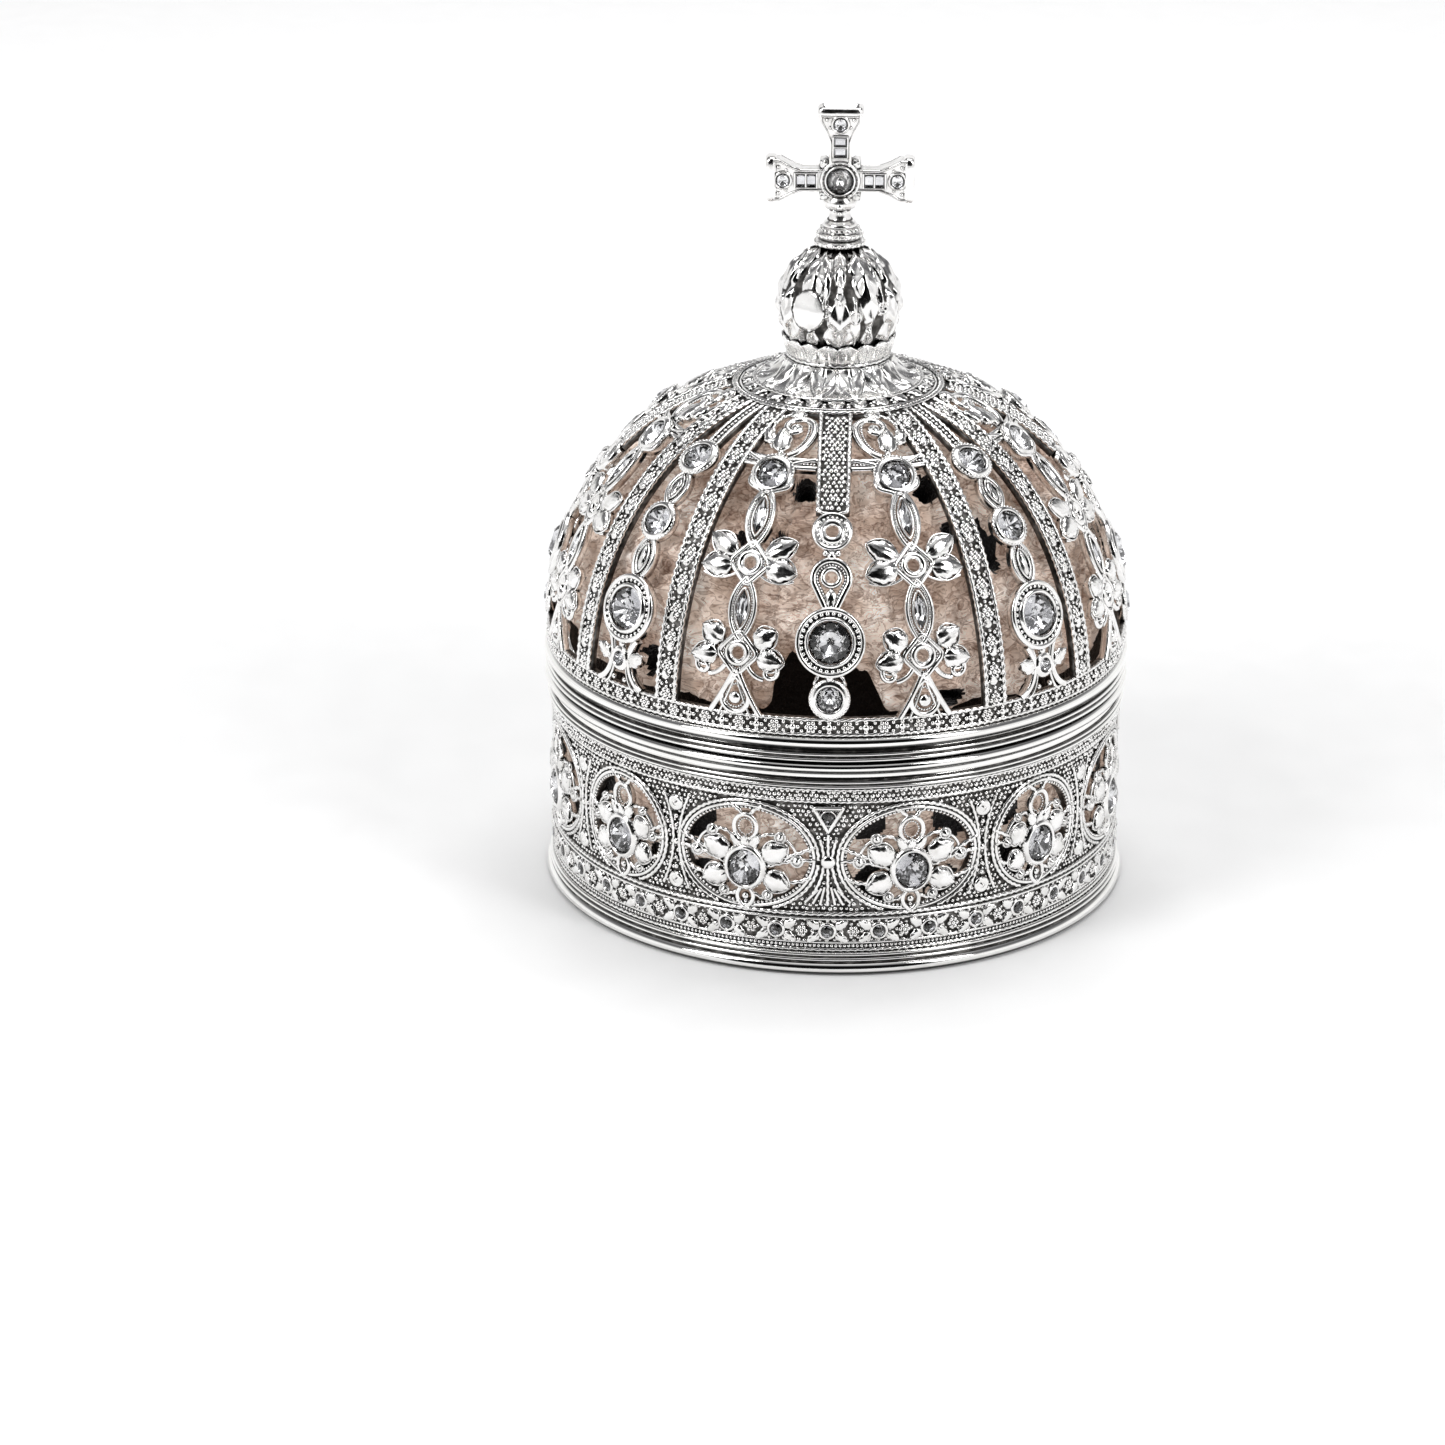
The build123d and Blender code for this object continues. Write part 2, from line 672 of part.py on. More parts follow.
def cross_stones():
    """On both faces: a round stone at the crossing, a baguette and a round one in each arm."""
    stones = []
    for face in (-1, 1):
        plane = Plane(origin=(0, face * 2.35, CROSS_ARM_Z), x_dir=(1, 0, 0), z_dir=(0, face, 0))
        stones.append(extrude(plane * Circle(2.8), amount=1.3, taper=28))
        for x, z, w, h in CHANNELS:
            outline = Rectangle(w - 2 * FIT, h - 2 * FIT)
            stones.append(extrude(arm_seat(face, x, z) * outline, amount=1.1, taper=20))
        for x, z in FLARE_SEATS:
            seat = arm_seat(face, x, z)
            stones.append(extrude(seat * Circle(FLARE_STONE_R), amount=1.1, taper=20))
    return stones


def arm_seat(face, x, z):
    """Plane at the bottom of a seat in an arm, looking out of that face."""
    depth = face * (ARM_DEPTH - CHANNEL_DEPTH + FIT)
    return Plane(origin=(x, depth, CROSS_ARM_Z + z), x_dir=(1, 0, 0), z_dir=(0, face, 0))


WASHER_TOP = CAP_TOP - SHELL_T - 0.35


def finial_stud():
    return Pos(0, 0, STUD_LOW) * Cylinder(STUD_R, NECK_TOP + 3.8 - STUD_LOW, align=ON_BASE)


def finial_washer():
    ring = Cylinder(5.0, 0.8, align=ON_BASE) - Cylinder(STUD_R + FIT, 4)
    return Pos(0, 0, WASHER_TOP - 0.8) * ring


def finial_nut():
    """Knurled thumb nut, as a plain round body with a flange."""
    profile = block(STUD_R + FIT, 3.2, WASHER_TOP - 4.9, WASHER_TOP - 0.85)
    profile += block(STUD_R + FIT, 4.4, WASHER_TOP - 4.9, WASHER_TOP - 2.7)
    return turned(profile)


# --- Groups of stones ---------------------------------------------------------------------
def stones_on_dome(places, radius):
    """Round stones at (azimuth, distance up the dome)."""
    return [round_stone(dome_plane(a, s).offset(0.35), radius) for a, s in places]


def dome_stone_places():
    """Azimuth and distance of the large, medium and small round stones of the dome."""
    large, medium, small = [], [], []
    for quarter in QUARTERS.values():
        large += [(quarter, GEM_BIG_S), (quarter + CORNER, CORNER_BIG_S)]
        small.append((quarter, GEM_SMALL_S))
        medium += [(quarter + side * CROSS_OFFSET, CROSS_TOP_S) for side in (-1, 1)]
        medium += [(quarter + CORNER, CORNER_TOP_S), (quarter + CORNER, CORNER_MID_S)]
    return large, medium, small


def pointed_stones():
    """Pointed oval stones in the open leaves of the cross columns."""
    stones = []
    for azimuth in CROSS_AZIMUTHS:
        for low, high in (UPPER_LEAF, LOWER_LEAF):
            plane = dome_plane(azimuth, (low + high) / 2)
            length = (high - low) * 0.62 - 0.3
            stones.append(leaf_stone(plane, length, LEAF_W * 0.52 - 0.15))
    return stones


CROSS_AZIMUTHS = [q + side * CROSS_OFFSET for q in QUARTERS.values() for side in (-1, 1)]


def wall_stones():
    """Small round stones of the spindles and of the lower band."""
    stones = []
    for quarter in QUARTERS.values():
        plane = spindle_stone_plane(quarter).offset(0.1)
        stones.append(round_stone(plane, SPINDLE_STONE_R))
    for azimuth in LOWER_BAND_AZIMUTHS:
        plane = wall_plane(azimuth, LOWER_BAND_STONE_Z, BAND_R).offset(0.05)
        stones.append(round_stone(plane, BAND_STONE_R))
    return stones


def rosette_stones():
    offsets = (-ROUNDEL_AZIMUTH, ROUNDEL_AZIMUTH, CORNER)
    planes = each_quarter(rosette_stone_plane, *offsets)
    return [round_stone(plane.offset(0.75), ROSETTE_STONE_R) for plane in planes]


# --- Every node ---------------------------------------------------------------------------
def all_nodes():
    large, medium, small = dome_stone_places()
    nodes = {
        "floor_plate": floor_plate(),
        "floor_pad": floor_pad(),
        "wall_lining": wall_lining(),
        "foot_ring": foot_ring(),
        "lower_band": lower_band(),
        "upper_band": upper_band(),
        "box_rim": box_rim(),
        "rosettes": each_quarter(
            lambda a: rosette(a, ROUNDEL_W), -ROUNDEL_AZIMUTH, ROUNDEL_AZIMUTH
        ),
        "corner_rosettes": each_quarter(lambda a: rosette(a, CORNER_ROUNDEL_W), CORNER),
        "rosette_stones": rosette_stones(),
        "wall_stones": wall_stones(),
        "lid_rim": lid_rim(),
        "lid_spigot": lid_spigot(),
        "dome_base_band": dome_base_band(),
        "crown_cap": crown_cap(),
        "scroll_leaves": each_quarter(scroll_leaf, -SCROLL_AZIMUTH, SCROLL_AZIMUTH),
        "dome_lining": dome_lining(),
        "large_stones": stones_on_dome(large, BIG_STONE_R),
        "medium_stones": stones_on_dome(medium, CROSS_STONE_R),
        "small_stones": stones_on_dome(small, SMALL_STONE_R),
        "pointed_stones": pointed_stones(),
        "petal_collar": petal_collar(),
        "orb_lower": orb_lower(),
        "orb_upper": orb_upper(),
        "neck_collar": neck_collar(),
        "cross": cross(),
        "cross_stones": cross_stones(),
        "finial_stud": finial_stud(),
        "finial_washer": finial_washer(),
        "finial_nut": finial_nut(),
    }
    for name, azimuth in QUARTERS.items():
        nodes[f"wall_panel_{name}"] = wall_panel(azimuth)
        nodes[f"gem_column_{name}"] = gem_column(azimuth)
    for i, azimuth in enumerate(RIB_AZIMUTHS, 1):
        nodes[f"rib_{i}"] = rib(azimuth)
    for i, quarter in enumerate(QUARTERS.values(), 1):
        nodes[f"corner_column_{i}"] = corner_column(quarter + CORNER)
    for i, azimuth in enumerate(CROSS_AZIMUTHS, 1):
        nodes[f"cross_column_{i}"] = cross_column(azimuth, -1 if i % 2 else 1)
    return nodes


os.makedirs("parts", exist_ok=True)
for node, shape in all_nodes().items():
    if isinstance(shape, list):
        shape = Compound(children=shape)
    export_step(shape, f"parts/{node}.step")
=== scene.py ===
from math import atan2, cos, degrees, hypot, pi, radians, sin, sqrt

import bpy
import numpy as np
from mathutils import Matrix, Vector
from mathutils.geometry import delaunay_2d_cdt


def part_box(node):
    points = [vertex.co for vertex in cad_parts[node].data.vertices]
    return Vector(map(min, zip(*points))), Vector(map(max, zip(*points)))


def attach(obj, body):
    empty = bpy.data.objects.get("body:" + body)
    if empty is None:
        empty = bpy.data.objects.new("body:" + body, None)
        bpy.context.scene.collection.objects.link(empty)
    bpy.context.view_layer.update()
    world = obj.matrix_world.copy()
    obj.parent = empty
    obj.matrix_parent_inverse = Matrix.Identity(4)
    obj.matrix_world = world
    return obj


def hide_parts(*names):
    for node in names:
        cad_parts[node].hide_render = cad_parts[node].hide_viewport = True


# A round openwork box shaped like a crown, in silver with clear stones: a pierced drum, and a
# domed lid with an orb and cross. Shapes are worked out in millimetres. Azimuth 0 is the
# front (-Y) and grows towards +X. Every visual piece stands for one CAD node.

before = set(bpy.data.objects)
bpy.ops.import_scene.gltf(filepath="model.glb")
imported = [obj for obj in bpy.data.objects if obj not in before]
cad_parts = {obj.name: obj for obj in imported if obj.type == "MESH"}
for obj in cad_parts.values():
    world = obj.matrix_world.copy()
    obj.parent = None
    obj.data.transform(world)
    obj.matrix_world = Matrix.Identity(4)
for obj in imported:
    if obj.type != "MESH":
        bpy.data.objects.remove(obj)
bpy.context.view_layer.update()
MM = 0.001
rng = np.random.default_rng(11)


def side_of(node, end, axis):
    """A CAD node's lowest (0) or highest (1) coordinate, in millimetres."""
    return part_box(node)[end][axis] / MM


RIM_R = side_of("foot_ring", 1, 0)
BAND_R = side_of("upper_band", 1, 0)
WALL_R = -side_of("wall_panel_front", 0, 1)
WALL_T = 1.6
FOOT_TOP = side_of("foot_ring", 1, 2)
PANEL_LOW = side_of("wall_panel_front", 0, 2)
PANEL_HIGH = side_of("wall_panel_front", 1, 2)
RIM_LOW = side_of("box_rim", 0, 2)
SEAM = side_of("box_rim", 1, 2)
LID_LOW = side_of("lid_rim", 0, 2)
FLANGE_TOP = side_of("lid_rim", 1, 2)
DOME_R = side_of("dome_base_band", 1, 0)
CAP_TOP = side_of("crown_cap", 1, 2)
CAP_R = side_of("crown_cap", 1, 0)
DOME_H = CAP_TOP - FLANGE_TOP
ORB_R = side_of("orb_lower", 1, 0)
ORB_Z = side_of("orb_lower", 1, 2)
CROSS_TOP = side_of("cross", 1, 2)
CROSS_HALF = side_of("cross", 1, 0)
QUARTERS = {"front": 0, "right": 90, "back": 180, "left": 270}

# --- Surfaces -----------------------------------------------------------------------------
T = np.linspace(0, 1, 4001)
DOME_RADII = DOME_R * np.maximum(np.cos(T * pi / 2), 0) ** 0.788
DOME_HEIGHTS = FLANGE_TOP + DOME_H * np.sin(T * pi / 2) ** 1.02
STEPS = np.hypot(np.diff(DOME_RADII), np.diff(DOME_HEIGHTS))
DOME_S = np.concatenate([[0.0], np.cumsum(STEPS)])
DOME_LEAN = np.arctan2(-np.gradient(DOME_RADII), np.gradient(DOME_HEIGHTS))


def meridian(s):
    """Radius, height and slope of the dome at distance s up its outline."""
    radius = np.interp(s, DOME_S, DOME_RADII)
    height = np.interp(s, DOME_S, DOME_HEIGHTS)
    return radius, height, np.interp(s, DOME_S, DOME_LEAN)


def arrays(*values):
    return np.broadcast_arrays(*[np.asarray(v, dtype=float) for v in values])


def on_dome(azimuth):
    """Map from (mm along the parallel, mm up the meridian, mm outward) to space."""

    def place(x, y, h=0.0):
        x, y, h = arrays(x, y, h)
        radius, height, lean = meridian(y)
        a = radians(azimuth) + x / np.maximum(radius, 3.0)
        reach = radius + h * np.cos(lean)
        return np.stack([reach * np.sin(a), -reach * np.cos(a), height + h * np.sin(lean)], -1)

    return place


def on_wall(azimuth, middle=0.0, radius=None):
    """The same for the drum, with y measured from a height."""
    base = WALL_R if radius is None else radius

    def place(x, y, h=0.0):
        x, y, h = arrays(x, y, h)
        a = radians(azimuth) + x / base
        reach = base + h
        return np.stack([reach * np.sin(a), -reach * np.cos(a), middle + y], -1)

    return place


def moved(place, x0, y0, turn=0.0):
    c, n = cos(radians(turn)), sin(radians(turn))

    def shifted(x, y, h=0.0):
        x, y, h = arrays(x, y, h)
        return place(x0 + x * c - y * n, y0 + x * n + y * c, h)

    return shifted


def unit(v):
    return v / np.maximum(np.linalg.norm(v, axis=-1, keepdims=True), 1e-12)


def frames(place, x, y, h=0.0):
    e = 0.03
    origin = place(x, y, h)
    x, y, h = arrays(x, y, h)
    ex = unit(place(x + e, y, h) - place(x - e, y, h))
    ey = unit(place(x, y + e, h) - place(x, y - e, h))
    en = unit(np.cross(ex, ey))
    return origin, ex, np.cross(en, ex), en


def rigid(place, x0=0.0, y0=0.0, nod=0.0):
    """A flat, undistorted map in the tangent plane, nodded outward by some degrees."""
    origin, ex, ey, en = frames(place, x0, y0)
    ey, en = ey * cos(radians(nod)) + en * sin(radians(nod)), en * cos(radians(nod)) - ey * sin(radians(nod))

    def flat(x, y, h=0.0):
        x, y, h = arrays(x, y, h)
        return origin + x[..., None] * ex + y[..., None] * ey + h[..., None] * en

    return flat


def upright(origin, right, up):
    """A flat map at a point in space, from two directions."""
    origin, right, up = (np.array(v, dtype=float) for v in (origin, right, up))
    out = np.cross(right, up)

    def flat(x, y, h=0.0):
        x, y, h = arrays(x, y, h)
        return origin + x[..., None] * right + y[..., None] * up + h[..., None] * out

    return flat


# --- Mesh building ------------------------------------------------------------------------
class Shape:
    """Collects faces with material slots and makes one mesh object of them."""

    def __init__(self):
        self.points, self.loops, self.sizes, self.slots, self.smooth = [], [], [], [], []
        self.count = 0

    def add(self, points, faces, slot, smooth=True):
        faces = np.asarray(faces)
        self.points.append(np.asarray(points, dtype=float).reshape(-1, 3))
        self.loops.append((faces + self.count).ravel())
        self.sizes.append(np.full(len(faces), faces.shape[1]))
        self.slots.append(np.full(len(faces), slot))
        self.smooth.append(np.full(len(faces), smooth))
        self.count += len(self.points[-1])

    def build(self, name, body, slot, materials, nodes):
        mesh = bpy.data.meshes.new(name)
        points = np.concatenate(self.points) * MM
        loops = np.concatenate(self.loops).astype(np.int32)
        sizes = np.concatenate(self.sizes)
        starts = np.concatenate([[0], np.cumsum(sizes)[:-1]]).astype(np.int32)
        mesh.vertices.add(len(points))
        mesh.vertices.foreach_set("co", points.ravel())
        mesh.loops.add(len(loops))
        mesh.loops.foreach_set("vertex_index", loops)
        mesh.polygons.add(len(sizes))
        mesh.polygons.foreach_set("loop_start", starts)
        mesh.polygons.foreach_set("material_index", np.concatenate(self.slots).astype(np.int32))
        mesh.polygons.foreach_set("use_smooth", np.concatenate(self.smooth))
        mesh.update(calc_edges=True)
        mesh.validate()
        for material in materials:
            mesh.materials.append(material)
        obj = bpy.data.objects.new(name, mesh)
        bpy.context.scene.collection.objects.link(obj)
        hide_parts(*nodes)
        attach(obj, body)
        return obj


def grid_faces(rows, cols, wrap_rows=False, wrap_cols=False):
    i = np.arange(rows if wrap_rows else rows - 1)
    j = np.arange(cols if wrap_cols else cols - 1)
    i, j = np.meshgrid(i, j, indexing="ij")
    i2, j2 = (i + 1) % rows, (j + 1) % cols
    quads = np.stack([i * cols + j, i * cols + j2, i2 * cols + j2, i2 * cols + j], -1)
    return quads.reshape(-1, 4)


def patch(shape, points, slot, wrap_rows=False, wrap_cols=False, smooth=True):
    rows, cols = points.shape[:2]
    shape.add(points, grid_faces(rows, cols, wrap_rows, wrap_cols), slot, smooth)


def turned(shape, profile, slot, segments=288, closed=True):
    """Body of revolution about the vertical axis from points (radius, height)."""
    profile = np.array(profile, dtype=float)
    a = np.arange(segments) * 2 * pi / segments
    r, z = profile[:, 0], profile[:, 1]
    x = r[:, None] * np.sin(a)
    y = -r[:, None] * np.cos(a)
    points = np.stack([x, y, np.broadcast_to(z[:, None], x.shape)], -1)
    patch(shape, points, slot, wrap_rows=closed, wrap_cols=True)


def turned_on(shape, place, profile, slot, segments=40, x0=0.0, y0=0.0, oval=1.0):
    """Ring or cup standing on a surface, from points (radius, height)."""
    profile = np.array(profile, dtype=float)
    a = np.arange(segments) * 2 * pi / segments
    x = x0 + profile[:, :1] * np.cos(a)
    y = y0 + profile[:, :1] * np.sin(a) * oval
    patch(shape, place(x, y, profile[:, 1:] + 0 * x), slot, wrap_cols=True)


def bead_template(rings=(-25, 15, 52), around=8):
    points = []
    for k, rise in enumerate(rings):
        a = (np.arange(around) + 0.5 * (k % 2)) * 2 * pi / around
        c = cos(radians(rise))
        level = np.full(around, sin(radians(rise)))
        points.append(np.stack([c * np.cos(a), c * np.sin(a), level], -1))
    points = np.concatenate(points + [np.array([[0, 0, 1.0]])])
    faces = []
    for k in range(len(rings) - 1):
        for i in range(around):
            j = (i + 1) % around
            a, b, c, d = k * around + i, k * around + j, (k + 1) * around + j, (k + 1) * around + i
            faces += [(a, b, c), (a, c, d)]
    last = (len(rings) - 1) * around
    faces += [(last + i, last + (i + 1) % around, len(points) - 1) for i in range(around)]
    return points, np.array(faces)


BEAD_POINTS, BEAD_FACES = bead_template()


def beads(shape, place, x, y, radius, slot, h=0.0, tall=0.85):
    x, y, radius, h = (v.ravel() for v in arrays(x, y, radius, h))
    if len(x) == 0:
        return
    origin, ex, ey, en = frames(place, x, y, h)
    size = radius[:, None, None]
    b = BEAD_POINTS
    points = origin[:, None, :] + size * (
        b[:, 0][None, :, None] * ex[:, None, :]
        + b[:, 1][None, :, None] * ey[:, None, :]
        + tall * b[:, 2][None, :, None] * en[:, None, :]
    )
    jumps = (np.arange(len(x)) * len(b))[:, None, None]
    shape.add(points, (BEAD_FACES[None] + jumps).reshape(-1, 3), slot)


def path_parts(path, closed):
    """Tangents, side directions and running length of a flat path."""
    path = np.asarray(path, dtype=float)
    if closed:
        ahead, behind = np.roll(path, -1, 0), np.roll(path, 1, 0)
        tangent = unit(ahead - behind)
    else:
        tangent = unit(np.gradient(path, axis=0))
    side = np.stack([-tangent[:, 1], tangent[:, 0]], -1)
    steps = np.linalg.norm(np.diff(path, axis=0), axis=1)
    return path, tangent, side, np.concatenate([[0], np.cumsum(steps)])


def spaced(path, step, closed=False):
    """The path again, at even spacing."""
    path = np.asarray(path, dtype=float)
    if closed:
        path = np.concatenate([path, path[:1]])
    steps = np.linalg.norm(np.diff(path, axis=0), axis=1)
    length = np.concatenate([[0], np.cumsum(steps)])
    n = max(int(round(length[-1] / step)), 4 if closed else 2)
    at = np.linspace(0, length[-1], n + 1)
    if closed:
        at = at[:-1]
    return np.stack([np.interp(at, length, path[:, 0]), np.interp(at, length, path[:, 1])], -1)


def close_ends(shape, ring, slot):
    """Fans over the first and last section of a sweep."""
    for section, flip in ((ring[0], True), (ring[-1], False)):
        n = len(section)
        points = np.concatenate([section, section.mean(0, keepdims=True)])
        faces = [(i, (i + 1) % n, n) for i in range(n)]
        if flip:
            faces = [(b, a, c) for a, b, c in faces]
        shape.add(points, faces, slot)


def wire(shape, place, path, radius, slot, h=0.0, closed=False, sides=6, pitch=None, step=None):
    """Round wire along a path on a surface; with a pitch it is a two-strand rope."""
    path = spaced(path, step or (0.32 if pitch else 0.6), closed)
    path, _, side, length = path_parts(path, closed)
    around = np.arange(sides) * 2 * pi / sides
    size = np.full((len(path), sides), float(radius))
    if pitch:
        turns = 2 * pi * length[: len(path)] / pitch
        size = radius * (1 + 0.3 * np.cos(2 * (around[None] - turns[:, None] / 2)))
    across = size * np.cos(around)
    up = size * np.sin(around)
    x = path[:, :1] + side[:, :1] * across
    y = path[:, 1:] + side[:, 1:] * across
    ring = place(x, y, h + up)
    patch(shape, ring[:, ::-1], slot, wrap_rows=closed, wrap_cols=True)
    if not closed:
        close_ends(shape, ring, slot)


def beaded(shape, place, path, radius, slot, h=0.0, closed=False, gap=1.02):
    path = spaced(path, 2 * radius * gap, closed)
    beads(shape, place, path[:, 0], path[:, 1], radius, slot, h)


def ribbon(shape, place, path, width, low, high, slot, closed=False, crown=0.35, step=0.8):
    """Strip of silver on edge along a path, with a rounded top."""
    path = spaced(path, step, closed)
    path, _, side, _ = path_parts(path, closed)
    half = width / 2
    crown = min(crown, high - low)
    angles = np.linspace(0, pi, 7)
    across = np.concatenate([[half], half * np.cos(angles), [-half]])
    up = np.concatenate([[low], high - crown + crown * np.sin(angles), [low]])
    x = path[:, :1] + side[:, :1] * across
    y = path[:, 1:] + side[:, 1:] * across
    ring = place(x, y, up[None] + 0 * x)
    patch(shape, ring, slot, wrap_rows=closed, wrap_cols=True)
    if not closed:
        close_ends(shape, ring[:, ::-1], slot)


def strap(shape, place, low_y, high_y, width, low, high, slot, step=1.2):
    """Flat band up a surface."""
    ribbon(shape, place, [(0, low_y), (0, high_y)], width, low, high, slot, crown=0.05, step=step)


# --- Flat paths ---------------------------------------------------------------------------
def arc(x0, y0, radius, start, end, oval=1.0, n=None):
    n = n or max(int(abs(end - start) / 9), 4)
    a = np.radians(np.linspace(start, end, n + 1))
    return np.stack([x0 + radius * np.cos(a), y0 + radius * oval * np.sin(a)], -1)


def loop(x0, y0, radius, oval=1.0, n=48):
    return arc(x0, y0, radius, 0, 360, oval, n)[:-1]


def leaf(length, width, y0=0.0, n=16, x0=0.0):
    """Closed pointed oval along Y, centred on y0."""
    u = np.linspace(-1, 1, n + 1)
    half = width / 2 * (1 - u**2) ** 0.85
    right = np.stack([x0 + half, y0 + u * length / 2], -1)
    left = np.stack([x0 - half[::-1], y0 + u[::-1] * length / 2], -1)
    return np.concatenate([right[:-1], left[:-1]])


def curl(x0, y0, start_r, end_r, start, end, n=40):
    a = np.radians(np.linspace(start, end, n))
    r = np.linspace(start_r, end_r, n)
    return np.stack([x0 + r * np.cos(a), y0 + r * np.sin(a)], -1)


def bent(points, n=24):
    """Smooth curve through three or more points."""
    points = np.array(points, dtype=float)
    lengths = np.concatenate([[0], np.cumsum(np.linalg.norm(np.diff(points, axis=0), axis=1))])
    t = lengths / lengths[-1]
    degree = min(len(points) - 1, 3)
    at = np.linspace(0, 1, n)
    x = np.polyval(np.polyfit(t, points[:, 0], degree), at)
    y = np.polyval(np.polyfit(t, points[:, 1], degree), at)
    return np.stack([x, y], -1)


def mirrored(path):
    return np.asarray(path) * np.array([-1, 1])


# --- Ornaments ----------------------------------------------------------------------------
BRIGHT, GROUND, SATIN = 0, 1, 2  # slots of every silver piece


def petal(shape, place, length, width, rise, low=-0.9, base=0.1, veins=2, full=0.8, curl_up=0.5):
    """Cast petal from the origin along +Y, with a midrib groove and side veins."""
    rows, cols = 13, 13
    u = np.linspace(0, 1, rows)
    v = np.linspace(-1, 1, cols)
    u, v = np.meshgrid(u, v, indexing="ij")
    half = width / 2 * (0.22 + 0.78 * np.sin(pi * u**full) ** 0.75) * (1 - 0.9 * u**9)
    half = half * (1 + 0.09 * np.cos(2 * pi * (veins * u + 0.4)))
    x = half * v
    y = length * u
    dome = np.sqrt(np.clip(1 - v**2, 0, 1))
    groove = 0.2 * np.exp(-((v / 0.12) ** 2)) * (1 - u)
    ripple = 0.2 * np.cos(2 * pi * veins * (u * 1.5 - np.abs(v) * 0.8)) * np.abs(v) ** 0.7
    h = base + rise * (dome * (0.45 + 0.55 * np.sin(pi * u**0.8)) - groove - ripple)
    h = h + curl_up * u**3 * 0.8
    edge = np.zeros((rows, 1))
    x = np.concatenate([x[:, :1], x, x[:, -1:]], 1)
    y = np.concatenate([y[:, :1], y, y[:, -1:]], 1)
    h = np.concatenate([edge + low, h, edge + low], 1)
    tip = np.full((1, cols + 2), low)
    x = np.concatenate([x[:1] * 1.0, x, x[-1:]])
    y = np.concatenate([y[:1] * 1.0, y, y[-1:]])
    h = np.concatenate([tip, h, tip])
    patch(shape, place(x, y, h)[:, ::-1][:, ::-1], BRIGHT)


def scatter(shape, place, low, high, inside, pitch=1.25, size=(0.34, 0.56), h=0.0):
    """Granulation over a region: grains of mixed sizes, packed close."""
    xs = np.arange(low[0], high[0], pitch)
    ys = np.arange(low[1], high[1], pitch * 0.87)
    x, y = np.meshgrid(xs, ys)
    x = x + (np.arange(len(ys)) % 2)[:, None] * pitch / 2
    x = (x + rng.uniform(-0.16, 0.16, x.shape) * pitch).ravel()
    y = (y + rng.uniform(-0.16, 0.16, y.shape) * pitch).ravel()
    keep = inside(x, y)
    x, y = x[keep], y[keep]
    r = rng.uniform(size[0], size[1], len(x))
    beads(shape, place, x, y, r, BRIGHT, h)


def floret(shape, place, x0, y0, radius, petals=6, h=0.1):
    """Ring of grains round a centre grain."""
    a = np.arange(petals) * 2 * pi / petals
    r = radius * 0.42
    beads(shape, place, x0 + radius * 0.66 * np.cos(a), y0 + radius * 0.66 * np.sin(a), r, BRIGHT, h)
    beads(shape, place, [x0], [y0], radius * 0.4, BRIGHT, h + 0.2)


def seat(shape, place, outer, stone, height, oval=1.0, rim=0.0, ring=True):
    """Collet of a stone: outer moulding, groove, inner bezel and the foil cup."""
    top = height
    wall = outer - stone
    profile = [(outer - 0.35, -1.3), (outer, -1.1), (outer, top * 0.25)]
    if wall > 2:
        profile += [(outer - 0.12, top * 0.5), (outer - 0.55, top * 0.66), (outer - 1.0, top * 0.5)]
        profile += [(outer - 1.3, top * 0.05), (stone + 1.05, top * 0.02), (stone + 0.9, top * 0.45)]
    else:
        profile += [(outer - 0.1, top * 0.5)]
    profile += [(stone + 0.62, top * 0.88), (stone + 0.36, top), (stone + 0.1, top * 0.96)]
    profile += [(stone - 0.08, top * 0.72), (stone - 0.02, top * 0.3), (stone - 0.3, -0.4)]
    profile += [(stone - 0.5, -1.2)]
    turned_on(shape, place, profile, BRIGHT, 56, oval=oval)
    if ring:
        r = outer - (1.3 if wall > 2 else 0.28)
        size = 0.52 if wall > 2 else 0.34
        count = int(2 * pi * r / (2.3 * size))
        a = np.arange(count) * 2 * pi / count
        level = top * (0.3 if wall > 2 else 0.42)
        beads(shape, place, r * np.cos(a), r * np.sin(a) * oval, size, BRIGHT, level)


